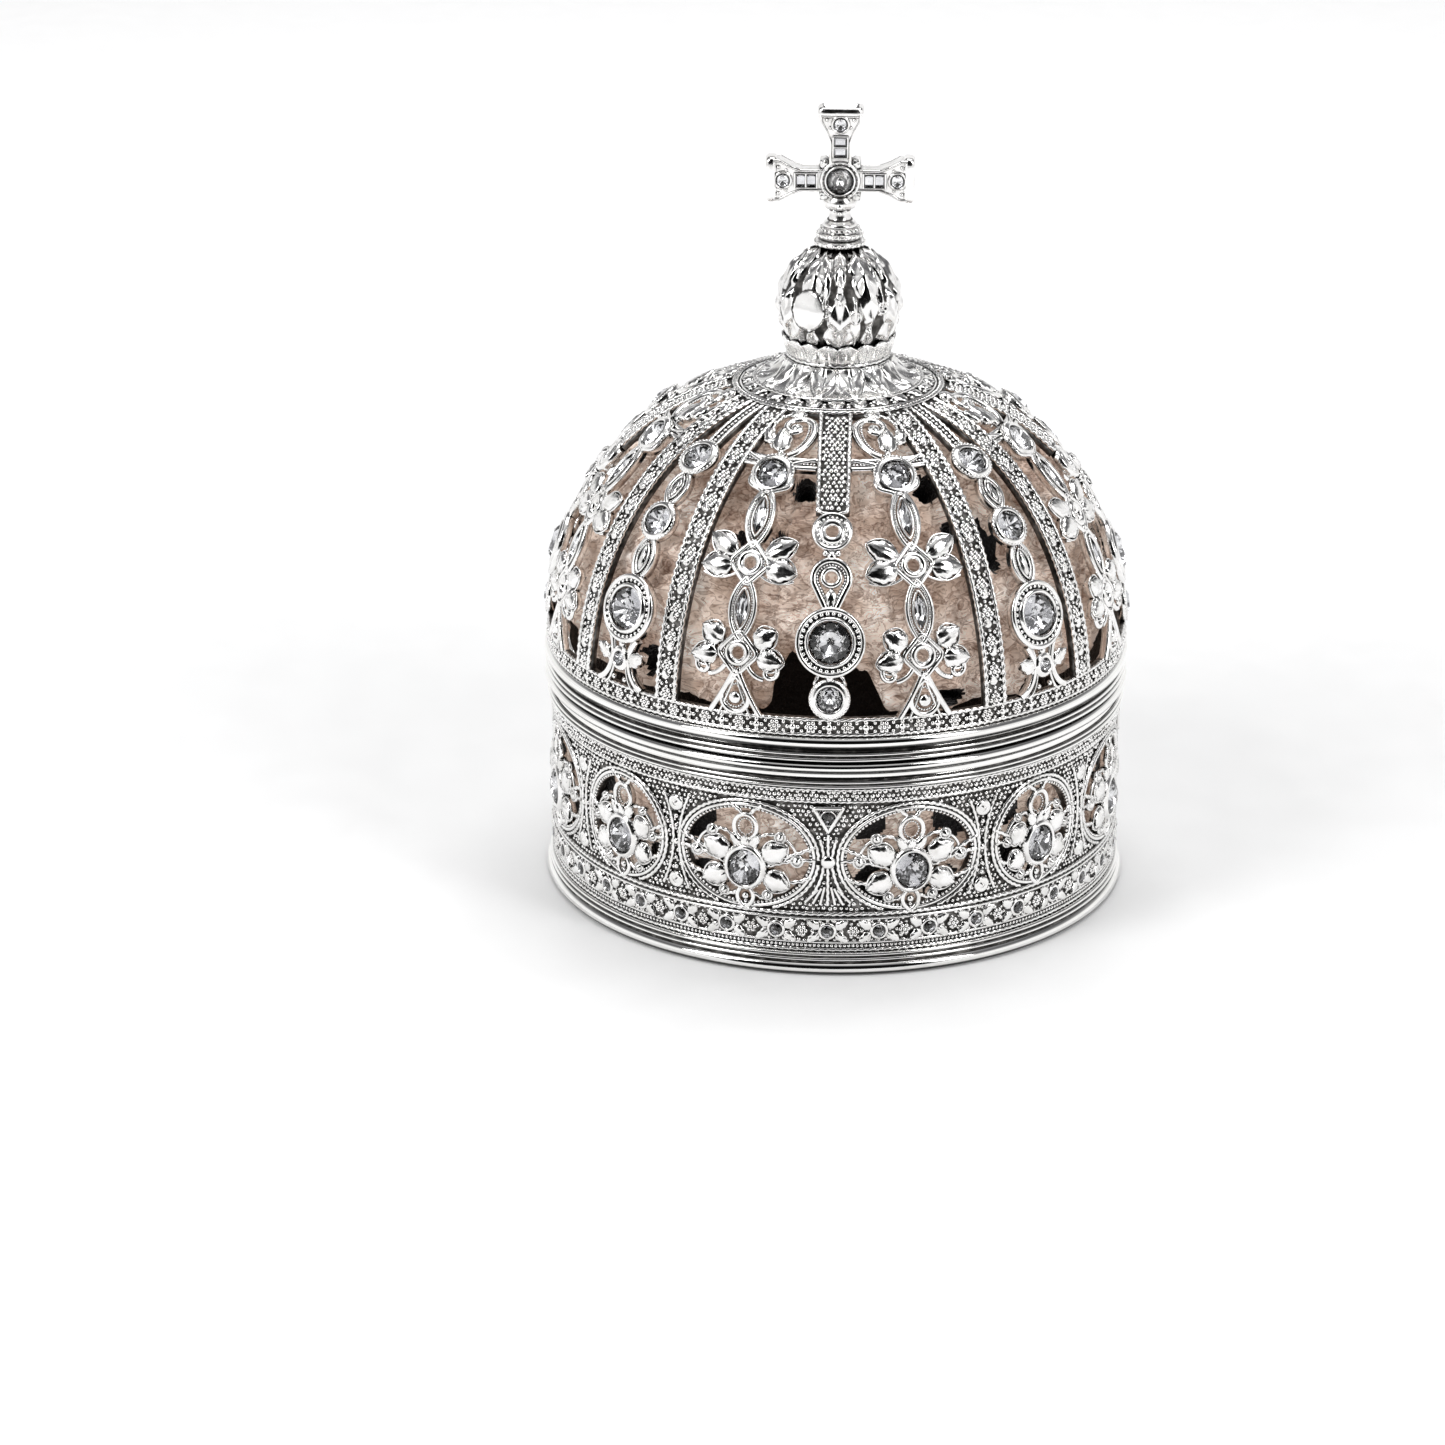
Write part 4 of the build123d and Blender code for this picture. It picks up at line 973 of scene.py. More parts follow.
def make_rosettes(node, offsets, half):
    """Rosettes over the roundels: petals and arms round an oval stone."""
    shape = Shape()
    drop = -2.4
    for quarter in QUARTERS.values():
        for offset in offsets:
            place = on_wall(quarter + offset, ROUNDEL_Z)
            centre = moved(place, 0, drop)
            seat(shape, rigid(centre), 4.6, 3.5, 1.45, oval=1.12)
            wide = half / 13.9
            for side in (-1, 1):
                for turn, far, long, thick in ((60, 4.0, 6.3 * wide, 5.0), (113, 4.1, 6.0 * wide, 4.8)):
                    angle = -side * turn
                    away = moved(centre, far * sin(radians(side * turn)), far * cos(radians(turn)), angle)
                    petal(shape, away, long, thick, 1.15, -0.9, 0.15, 3)
                    ribbon(shape, away, leaf(long * 0.97, thick * 1.06, long * 0.5), 0.42, -0.5, 0.5, BRIGHT, True, 0.2, 0.5)
                reach = half + 0.5
                for lift in (-0.62, 0.62):
                    line = bent([(side * 4.4, drop + 0.9 + lift), (side * reach * 0.66, 0.1 + lift), (side * reach, 1.4 + lift * 2.4)])
                    wire(shape, place, line, 0.46, BRIGHT, 0.05, sides=8, pitch=1.6)
                line = bent([(side * 4.2, drop - 1.7), (side * reach * 0.62, drop - 2.8), (side * (reach - 0.8), drop - 1.4)])
                wire(shape, place, line, 0.46, BRIGHT, 0.0, sides=8, pitch=1.6)
                blob(shape, place, side * reach * 0.74, drop + 2.0, 1.5 * wide)
                blob(shape, place, side * reach * 0.5, drop + 6.9, 1.35 * wide)
                line = bent([(side * 1.9, drop + 5.4), (side * reach * 0.34, drop + 7.4), (side * reach * 0.5, drop + 6.9)])
                wire(shape, place, line, 0.42, BRIGHT, 0.0, sides=8, pitch=1.5)
                line = bent([(side * reach * 0.5, drop + 6.9), (side * reach * 0.66, drop + 5.4), (side * reach * 0.74, drop + 2.0)])
                wire(shape, place, line, 0.38, BRIGHT, -0.05)
            eye = 6.2
            ribbon(shape, place, loop(0, eye, 2.4, 1.15, 40), 0.95, -0.8, 0.75, BRIGHT, True, 0.35, 0.5)
            beaded(shape, place, loop(0, eye, 1.55, 1.15, 30), 0.28, BRIGHT, 0.0, True)
            for side in (-1, 1):
                line = bent([(side * 0.6, eye + 2.4), (side * 1.6, eye + 3.6), (side * 3.4, ROUNDEL_RISE + 0.2)])
                wire(shape, place, line, 0.46, BRIGHT, 0.0, sides=8, pitch=1.5)
                petal(shape, moved(place, side * 0.9, 1.7, -side * 34), 3.8, 2.3, 0.9, -0.8, 0.2)
            petal(shape, moved(place, 0, 1.9), 2.8, 2.2, 0.9, -0.8, 0.3)
            ribbon(shape, place, leaf(5.0, 3.4, drop - 6.6), 0.9, -0.8, 0.65, BRIGHT, True, 0.35, 0.5)
            beads(shape, place, [0, 0], [drop - 6.6, drop - 7.8], [0.85, 0.5], BRIGHT, 0.0)
            for side in (-1, 1):
                line = bent([(side * 1.1, drop - 5.2), (side * 2.4, drop - 6.2), (side * 4.8, drop - 6.6)])
                wire(shape, place, line, 0.46, BRIGHT, 0.0, sides=8, pitch=1.5)
                blob(shape, place, side * 4.6, drop - 5.9, 1.2)
    shape.build(f"vis_{node}", "box", "silver_granulated", SILVER, [node])


def make_rosette_stones():
    shape = Shape()
    for quarter in QUARTERS.values():
        for offset in (-ROUNDEL_AZIMUTH, ROUNDEL_AZIMUTH, 45):
            place = rigid(on_wall(quarter + offset, ROUNDEL_Z), 0, -2.4)
            brilliant(shape, place, 3.45, 0.85, 1.12, 11)
    shape.build("vis_rosette_stones", "box", "clear_stone", [GLASS, FOIL], ["rosette_stones"])


def make_wall_stones():
    shape = Shape()
    for quarter in QUARTERS.values():
        brilliant(shape, rigid(on_wall(quarter, 34.2)), 1.45, 0.15)
    for i in range(BAND_STONES):
        brilliant(shape, rigid(on_wall(i * 360 / BAND_STONES, STONES_Z, BAND_R)), 1.25, 0.0)
    shape.build("vis_wall_stones", "box", "clear_stone", [GLASS, FOIL], ["wall_stones"])


def rope_edges(shape, place, half, low, high, h=0.0):
    """Rope along both edges of a band up the dome."""
    for side in (-1, 1):
        wire(shape, place, [(side * (half - 0.42), low), (side * (half - 0.42), high)], 0.46, BRIGHT, h, sides=8, pitch=1.6)


def make_base_band():
    shape = Shape()
    ys = np.linspace(0, 4.0, 6)
    radius, height, lean = meridian(ys)
    out = [(r - 0.35 * cos(l), z - 0.35 * sin(l)) for r, z, l in zip(radius, height, lean)]
    back = [(r - 1.5 * cos(l), z - 1.5 * sin(l)) for r, z, l in zip(radius, height, lean)]
    turned(shape, out + back[::-1], GROUND)
    for y, size in ((0.45, 0.42), (3.6, 0.4)):
        r, z, _ = meridian(y)
        ring_wire(shape, float(r) - 0.35, float(z), size, 0.05, 1.5)
    r0 = float(meridian(2.0)[0])
    count = 104
    azimuths = np.arange(count) * 360 / count
    for i, azimuth in enumerate(azimuths):
        place = on_dome(azimuth)
        if i % 2:
            floret(shape, place, 0, 2.0, 1.35, 6, -0.25)
        else:
            size = [0.85, 0.55, 0.55, 0.55, 0.55]
            beads(shape, place, [0, -1.05, 1.05, 0, 0], [2.0, 2.0, 2.0, 1.0, 3.0], size, BRIGHT, -0.25)
    gap = full_circle(r0) / count
    for azimuth in azimuths:
        beads(shape, on_dome(azimuth), [gap / 2, gap / 2], [1.15, 2.9], 0.46, BRIGHT, -0.25)
    shape.build("vis_dome_base_band", "lid", "silver_granulated", SILVER, ["dome_base_band"])


CAP_S = float(np.interp(-CAP_R, -DOME_RADII, DOME_S))
RIB_HALF = 2.55


def band_grains(shape, place, half, low, high, h=-0.2):
    """Granulated pattern up a band: florets, small leaves and lozenges of grains."""
    y = low
    k = 0
    width = half - 0.95
    while y < high - 0.9:
        if k % 3 == 0:
            floret(shape, place, 0, y, width * 0.98, 6, h)
            y += 2.1
        elif k % 3 == 1:
            x = np.array([-width * 0.72, 0, width * 0.72, 0])
            size = [0.5, 0.46, 0.5, 0.46]
            beads(shape, place, x, y + np.array([0, 0.55, 0, -0.4]), size, BRIGHT, h)
            y += 1.65
        else:
            petal(shape, moved(place, -0.1, y - 0.6, -14 if k % 2 else 14), 2.1, 1.9, 0.5, -0.3, -0.1)
            beads(shape, place, [-width * 0.8, width * 0.8], [y + 0.3, y + 0.3], 0.42, BRIGHT, h)
            y += 2.1
        k += 1
    edge = np.arange(low, high, 1.3)
    for side in (-1, 1):
        beads(shape, place, side * (width + 0.02) + 0 * edge, edge, 0.34, BRIGHT, h + 0.05)


def make_rib(index, azimuth):
    shape = Shape()
    place = on_dome(azimuth)
    low = 3.9
    strap(shape, place, low, CAP_S + 0.2, 2 * RIB_HALF, -1.5, -0.25, GROUND)
    rope_edges(shape, place, RIB_HALF, low, CAP_S - 0.2)
    band_grains(shape, place, RIB_HALF, low + 0.9, CAP_S - 0.5)
    shape.build(f"vis_rib_{index}", "lid", "silver_granulated", SILVER, [f"rib_{index}"])


def link_beads(shape, place, low, high, size):
    """Short chain of grains between two ornaments."""
    ribbon(shape, place, [(0, low), (0, high)], size * 1.7, -1.2, 0.0, BRIGHT, crown=0.3)
    count = max(int((high - low) / (size * 1.5)), 1)
    y = np.linspace(low, high, count + 2)[1:-1]
    beads(shape, place, 0 * y, y, size, BRIGHT, 0.0)


def make_gem_column(name, azimuth):
    shape = Shape()
    place = on_dome(azimuth)
    strap(shape, place, 45.7, CAP_S + 0.2, 6.8, -1.5, -0.25, GROUND)
    rope_edges(shape, place, 3.4, 46.2, CAP_S - 0.2)
    wire(shape, place, bent([(-3.0, 46.4), (-1.6, 45.7), (0, 45.5), (1.6, 45.7), (3.0, 46.4)]), 0.4, BRIGHT, 0, sides=8, pitch=1.5)
    scatter(shape, place, (-2.3, 47.0), (2.4, CAP_S - 0.6), lambda x, y: np.abs(x) < 2.3, 1.12, (0.46, 0.68), -0.2)
    ring = moved(place, 0, 41.9)
    turned_on(shape, ring, [(1.2, -1.3), (1.25, 0.2), (1.5, 0.5), (2.1, 0.62), (2.6, 0.35), (2.8, 0.05), (3.1, 0.05), (3.4, 0.4), (3.8, 0.5), (4.15, 0.2), (4.3, -0.4), (4.3, -1.3)][::-1], BRIGHT, 48)
    count = 20
    a = np.arange(count) * 2 * pi / count
    beads(shape, ring, 2.95 * np.cos(a), 2.95 * np.sin(a), 0.36, BRIGHT, 0.1)
    link_beads(shape, place, 35.2, 38.2, 1.15)
    beads(shape, place, [-1.3, 1.3], [37.2, 37.2], 0.7, BRIGHT, 0.1)
    drop = moved(place, 0, 32.0)
    outline = np.concatenate([arc(0, 0.2, 3.7, -18, 198), [(-2.4, -3.2), (-0.9, -6.4), (0, -7.3), (0.9, -6.4), (2.4, -3.2)]])
    ribbon(shape, drop, outline, 1.25, -1.3, 0.6, BRIGHT, True, 0.4, 0.5)
    ribbon(shape, drop, outline * 0.84, 1.2, -1.2, -0.1, GROUND, True, 0.1, 0.5)
    turned_on(shape, moved(drop, 0, 0.4), [(2.2, -1.3), (2.25, 0.3), (1.9, 0.6), (1.4, 0.5), (1.15, 0.1), (1.1, -1.3)], BRIGHT, 32)
    beaded(shape, drop, outline * 0.76, 0.3, BRIGHT, 0.0, True)
    petal(shape, moved(drop, 0, -1.9, 180), 4.4, 2.3, 0.8, -1.3, 0.0)
    link_beads(shape, place, 24.6, 27.4, 1.1)
    seat(shape, rigid(place, 0, 19.4), 7.1, 4.4, 1.3)
    link_beads(shape, place, 11.4, 13.4, 1.0)
    seat(shape, rigid(place, 0, 8.0), 4.2, 2.7, 0.75)
    for side in (-1, 1):
        wire(shape, place, bent([(side * 1.4, 13.2), (side * 2.6, 12.2), (side * 3.0, 10.8)]), 0.38, BRIGHT, -0.1, sides=8, pitch=1.4)
        wire(shape, place, bent([(side * 1.9, 25.8), (side * 1.0, 26.6), (side * 0.5, 28.2)]), 0.38, BRIGHT, 0, sides=8, pitch=1.4)
    shape.build(f"vis_gem_column_{name}", "lid", "silver_granulated", SILVER, [f"gem_column_{name}"])


def leaf_frame(shape, place, low, high, width, stone=True):
    """Open leaf: a strong double outline with grains between, round a pointed bezel."""
    middle, length = (low + high) / 2, high - low
    ribbon(shape, place, leaf(length, width, middle), 0.95, -1.3, 0.5, BRIGHT, True, 0.4, 0.5)
    ribbon(shape, place, leaf(length * 0.66, width * 0.56, middle), 0.42, -1.3, 0.62, BRIGHT, True, 0.2, 0.5)
    beaded(shape, place, leaf(length * 0.82, width * 0.78, middle), 0.25, BRIGHT, 0.1, True)
    if not stone:
        petal(shape, moved(place, 0, middle - length * 0.28), length * 0.56, width * 0.36, 0.7, -1.3, 0.0)


def foil_flower(shape, place, s, spread_, rounded):
    """Quatrefoil: a lozenge frame with a ring, and a spray of petals on each side."""
    centre = moved(place, 0, s)
    reach = 4.7
    lozenge = np.array([(0, reach), (reach * 0.93, 0), (0, -reach), (-reach * 0.93, 0)])
    soft = spaced(lozenge, 0.3, True)
    soft = (soft + np.roll(soft, 3, 0) + np.roll(soft, -3, 0)) / 3
    ribbon(shape, centre, soft, 1.05, -1.3, 0.5, BRIGHT, True, 0.4, 0.5)
    turned_on(shape, centre, [(2.7, -1.3), (2.75, 0.25), (2.4, 0.62), (1.9, 0.64), (1.4, 0.3), (1.15, -0.2), (1.1, -1.3)], BRIGHT, 36)
    beaded(shape, centre, soft * 0.77, 0.27, BRIGHT, 0.05, True)
    for side in (-1, 1):
        if rounded:
            sprays = ((58, 4.0, 5.2, 4.7, 0.62), (98, 4.3, 5.6, 4.4, 0.62))
        else:
            sprays = ((62, 3.4, 6.9, 4.6, 0.85), (100, 3.6, 6.6, 4.9, 0.8))
        for turn, far, long, wide, full in sprays:
            away = moved(centre, side * far * sin(radians(turn)), far * cos(radians(turn)), -side * turn)
            petal(shape, away, long, wide, 1.15, -1.2, 0.1, 3, full)
            ribbon(shape, away, leaf(long * 1.0, wide * 1.08, long * 0.5), 0.4, -0.8, 0.42, BRIGHT, True, 0.2, 0.5)
        beads(shape, centre, [side * 5.3, side * 6.8], [0.9, 0.9], [0.7, 0.6], BRIGHT, 0.35)
        if rounded:
            hook = curl(side * (spread_ - 2.9), -3.3, 1.8, 0.6, 90 - side * 60, 90 - side * 330)
            wire(shape, centre, hook, 0.6, BRIGHT, 0.1)
            wire(shape, centre, bent([(side * 2.4, -2.6), (side * 4.6, -4.6), (side * 5.8, -4.9)]), 0.6, BRIGHT, 0)
        else:
            base = bent([(side * 2.6, -2.4), (side * 5.0, -3.5), (side * spread_, -3.1)])
            ribbon(shape, centre, base, 0.6, -1.0, 0.2, BRIGHT, crown=0.25, step=0.5)


def splayed_legs(shape, place, apex, half, foot=3.6, ring=2.9):
    """Two feet from an apex to the base band, with a drop-shaped loop between."""
    for side in (-1, 1):
        path = bent([(side * 0.3, apex), (side * half * 0.42, (apex + foot) / 2 + 0.6), (side * half, foot)])
        ribbon(shape, place, path, 1.15, -1.3, 0.5, BRIGHT, crown=0.4, step=0.5)
        inner = path * np.array([0.72, 1.0]) + np.array([-side * 0.35, -0.5])
        wire(shape, place, inner, 0.26, BRIGHT, 0.1)
    y = foot + ring + 0.5
    outline = np.concatenate([arc(0, y, ring, -210, 30), [(ring * 0.5, y + ring * 1.05), (0, y + ring * 1.5), (-ring * 0.5, y + ring * 1.05)]])
    ribbon(shape, place, outline, 1.1, -1.3, 0.45, BRIGHT, True, 0.4, 0.5)
    beaded(shape, place, (outline - np.array([0, y])) * 0.68 + np.array([0, y]), 0.28, BRIGHT, -0.1, True)
    turned_on(shape, moved(place, 0, y), [(1.3, -1.2), (1.3, 0.2), (1.0, 0.55), (0.5, 0.7), (0.02, 0.74)], BRIGHT, 20)


def make_cross_column(index, azimuth, side):
    shape = Shape()
    place = on_dome(azimuth)
    top = 53.9
    seat(shape, rigid(place, 0, top, 9), 4.55, 3.2, 1.1)
    radius = float(meridian(57.2)[0])
    inner = -side * (radians(18.2) * radius - 3.3)
    outer = side * (radians(33 - 18.2) * radius - 2.45)
    for y in (56.25, 58.25):
        ribbon(shape, place, [(inner, y), (outer, y)], 1.05, -1.4, 0.25, BRIGHT, crown=0.35)
    beaded(shape, place, [(inner, 57.25), (outer, 57.25)], 0.34, BRIGHT, -0.2)
    for sign, end in ((-1, min(inner, outer)), (1, max(inner, outer))):
        wing = bent([(sign * 3.2, 56.9), (sign * 4.6, 57.5), (end * 0.92, 58.4)])
        ribbon(shape, place, wing, 0.95, -1.3, 0.4, BRIGHT, crown=0.35, step=0.5)
        shoulder = bent([(sign * 4.1, top - 0.6), (sign * 3.3, top - 3.2), (sign * 1.5, 50.0), (sign * 2.0, 47.2)])
        ribbon(shape, place, shoulder, 1.05, -1.3, 0.5, BRIGHT, crown=0.4, step=0.5)
    link_beads(shape, place, 58.6, 62.4, 0.8)
    leaf_frame(shape, place, 37.4, 50.8, 5.2)
    foil_flower(shape, place, 34.3, 9.6, False)
    leaf_frame(shape, place, 18.6, 31.4, 5.2)
    foil_flower(shape, place, 16.1, 9.8, True)
    splayed_legs(shape, place, 12.8, 5.3)
    shape.build(f"vis_cross_column_{index}", "lid", "silver_granulated", SILVER, [f"cross_column_{index}"])


def make_corner_column(index, azimuth):
    shape = Shape()
    place = on_dome(azimuth)
    strap(shape, place, 57.6, CAP_S + 0.2, 3.0, -1.5, -0.2, GROUND)
    for side in (-1, 1):
        wire(shape, place, [(side * 1.15, 57.8), (side * 1.15, CAP_S - 0.2)], 0.36, BRIGHT, -0.05, sides=8, pitch=1.5)
    y = np.arange(58.4, CAP_S - 0.4, 1.05)
    beads(shape, place, 0 * y, y, 0.5, BRIGHT, -0.15)
    seat(shape, rigid(place, 0, 54.2), 4.55, 3.1, 1.0)
    leaf_frame(shape, place, 42.2, 50.6, 4.6, False)
    seat(shape, rigid(place, 0, 38.6), 4.35, 3.1, 1.0)
    leaf_frame(shape, place, 25.6, 35.4, 5.0, False)
    seat(shape, rigid(place, 0, 19.8), 7.1, 4.4, 1.3)
    seat(shape, rigid(place, 0, 9.4), 2.6, 1.5, 0.8, ring=False)
    link_beads(shape, place, 11.4, 13.6, 0.9)
    for side in (-1, 1):
        for low, high, far in ((50.0, 52.2, 3.2), (42.6, 40.6, 3.4), (35.0, 36.8, 3.4), (25.9, 24.2, 4.6)):
            wire(shape, place, bent([(side * 1.2, low), (side * far * 0.6, (low + high) / 2 + 0.2), (side * far, high)]), 0.4, BRIGHT, 0, sides=8, pitch=1.4)
        path = bent([(side * 3.9, 13.9), (side * 2.6, 11.0), (side * 2.9, 7.4), (side * 6.3, 3.8)])
        ribbon(shape, place, path, 1.25, -1.3, 0.5, BRIGHT, crown=0.4, step=0.5)
        wire(shape, place, path * np.array([0.7, 1.0]) - np.array([0, 0.6]), 0.3, BRIGHT, 0.0)
        petal(shape, moved(place, side * 2.8, 9.0, -side * 58), 4.4, 3.2, 0.9, -1.2, 0.1)
        beads(shape, place, [side * 1.6, side * 3.1], [5.2, 8.6], 0.6, BRIGHT, 0.0)
    shape.build(f"vis_corner_column_{index}", "lid", "silver_granulated", SILVER, [f"corner_column_{index}"])


def make_crown_cap():
    shape = Shape()
    ys = np.linspace(CAP_S, DOME_S[-1] - 0.6, 22)
    radius, height, lean = meridian(ys)
    out = [(r - 0.3 * cos(l), z - 0.3 * sin(l)) for r, z, l in zip(radius, height, lean)]
    back = [(r - 1.5 * cos(l), z - 1.5 * sin(l)) for r, z, l in zip(radius, height, lean)]
    turned(shape, out + back[::-1], GROUND, 192)
    r, z, _ = meridian(CAP_S + 0.35)
    ring_wire(shape, float(r) - 0.35, float(z), 0.45, 0.0, 1.5)
    for level, count, size in ((1.25, 110, 0.45), (2.1, 0, 0.3)):
        r, z, _ = meridian(CAP_S + level)
        if count:
            ring_beads(shape, float(r), float(z) - 0.2, size)
        else:
            ring_wire(shape, float(r), float(z) - 0.2, size)
    for i in range(24):
        place = on_dome(i * 15)
        petal(shape, moved(place, 0, CAP_S + 6.0, 180), 3.9, 3.6, 0.55, -0.6, -0.1, 2, 0.7, 0.0)
        beads(shape, on_dome(i * 15 + 7.5), [0, 0], [CAP_S + 2.9, CAP_S + 4.0], [0.55, 0.42], BRIGHT, -0.15)
    shape.build("vis_crown_cap", "lid", "silver_granulated", SILVER, ["crown_cap"])


def make_scroll_leaves():
    shape = Shape()
    for quarter in QUARTERS.values():
        for side in (-1, 1):
            place = on_dome(quarter + side * 18.2)
            stem = bent([(-1.6, 58.9), (-4.2, 61.6), (-4.9, 64.6), (-4.55, 67.3)], 20)
            hook = curl(-0.95, 67.2, 3.6, 1.0, 178, -150, 44)
            path = np.concatenate([stem[:-1], hook]) * np.array([side, 1.0])
            ribbon(shape, place, path, 1.45, -1.2, 0.6, BRIGHT, crown=0.5, step=0.45)
            beaded(shape, place, path[:30] + np.array([side * 1.15, 0.1]), 0.28, BRIGHT, 0.0)
            turned_on(shape, moved(place, -side * 0.95, 67.0), [(1.2, -1.0), (1.2, 0.3), (0.85, 0.7), (0.02, 0.95)], BRIGHT, 20)
            petal(shape, moved(place, side * 0.2, 59.8, -side * 10), 6.6, 4.2, 1.0, -1.1, 0.1, 3)
            petal(shape, moved(place, side * 2.4, 61.8, -side * 34), 4.4, 3.2, 0.9, -1.1, 0.1)
            petal(shape, moved(place, side * 0.2, CAP_S + 0.2, 180), 3.2, 3.4, 0.8, -1.1, 0.0)
            spray = bent([(side * 2.6, 63.4), (side * 4.0, 66.6), (side * 3.4, 69.4), (side * 0.9, 71.8)])
            ribbon(shape, place, spray, 0.75, -1.1, 0.3, BRIGHT, crown=0.3, step=0.45)
            beads(shape, place, [side * 3.6, side * 3.9, side * 3.0], [65.4, 67.8, 70.0], 0.62, BRIGHT, 0.15)
    shape.build("vis_scroll_leaves", "lid", "silver_granulated", SILVER, ["scroll_leaves"])


def smooth(x):
    x = np.clip(x, 0, 1)
    return x * x * (3 - 2 * x)


def make_petal_collar():
    """Flared foot of the orb: lotus petals pointing down, a rope, and a cup of small ones."""
    shape = Shape()
    foot = CAP_TOP + 0.05
    t = np.linspace(0, 1, 34)
    r = 17.3 + (10.4 - 17.3) * t**0.62
    z = foot - 0.75 + (foot + 3.9 - foot + 0.75) * t**1.5
    slope_r, slope_z = np.gradient(r), np.gradient(z)
    n = np.stack([slope_z, -slope_r], -1)
    n = unit(n)
    a = np.linspace(0, 2 * pi, 421)[:-1]
    count = 14
    f = np.abs(((a * count / (2 * pi)) % 1.0) * 2 - 1)
    wide = np.sin(np.clip(0.12 + 1.2 * t, 0, 1) * pi / 2)[:, None]
    d = f[None, :] / (wide * 0.98)
    rise = 0.75 * np.sqrt(np.clip(1 - d**2, 0, 1)) - 0.3 * np.exp(-((f / 0.1) ** 2))[None] * (1 - t[:, None] * 0.5)
    rise = rise + 0.1 * np.cos(14 * t[:, None] - 5 * f[None]) * (d < 1)
    fade = smooth(t / 0.04)[:, None] * smooth((1 - t) / 0.06)[:, None]
    rise = rise * fade
    rr = r[:, None] + rise * n[:, :1]
    zz = z[:, None] + rise * n[:, 1:]
    points = np.stack([rr * np.sin(a), -rr * np.cos(a), zz], -1)
    patch(shape, points, BRIGHT, wrap_cols=True)
    turned(shape, [(17.3, foot - 0.75), (17.5, foot - 1.1), (16.0, foot - 0.9), (6.0, foot + 0.2), (6.0, foot + 0.9), (9.2, foot + 3.4), (10.4, foot + 3.9)], GROUND, 128, False)
    ring_wire(shape, 17.35, foot - 0.85, 0.42, 0.0, 1.5)
    ring_wire(shape, 10.35, foot + 4.25, 0.5, 0.0, 1.5)
    ring_beads(shape, 11.2, foot + 3.2, 0.36)
    t = np.linspace(0, 1, 14)[:, None]
    f = np.abs(((a * 18 / (2 * pi)) % 1.0) * 2 - 1)[None]
    tall = 4.35 * (1 - 0.2 * f**2)
    bulge = 0.5 * np.sqrt(1 - np.clip(f / 0.96, 0, 1) ** 2) * np.sin(pi * (0.15 + 0.75 * t)) - 0.16 * np.exp(-((f / 0.12) ** 2))
    r = 10.35 + 1.45 * t**0.9 + bulge * (1 - 0.4 * t)
    z = foot + 4.45 + tall * t
    back = np.stack([(r[::-1] - 0.75) * np.sin(a), -(r[::-1] - 0.75) * np.cos(a), z[::-1] + 0 * a], -1)
    cup = np.concatenate([np.stack([r * np.sin(a), -r * np.cos(a), z + 0 * a], -1), back])
    patch(shape, cup, BRIGHT, wrap_cols=True)
    shape.build("vis_petal_collar", "lid", "silver_cast", [SATIN_SILVER, DARK_SILVER, BRIGHT_SILVER], ["petal_collar"])


def acanthus(azimuth, height, centre, root, tip, half, lobes):
    """Height of one lobed leaf on the orb, and how far inside it a point lies."""
    u = (height - root) / (tip - root)
    offset = (azimuth - centre + 180) % 360 - 180
    lobe = 0.72 + 0.28 * np.abs(np.cos(pi * lobes * u)) ** 0.6
    half = half * np.clip(1 - u, 0, 1) ** 0.55 * lobe * (0.55 + 0.45 * smooth(u * 3))
    d = np.abs(offset) / np.maximum(half, 0.01)
    inside = (u > 0) & (u < 1)
    body = smooth((1 - d) * 3.2) * smooth((1 - u) * 7) * inside
    veins = 0.2 * np.cos(2 * pi * (lobes * u - d * 0.7)) * body
    rib = 0.34 * np.exp(-((offset / 2.2) ** 2)) * body
    return body * (0.72 - 0.28 * d) + rib - veins


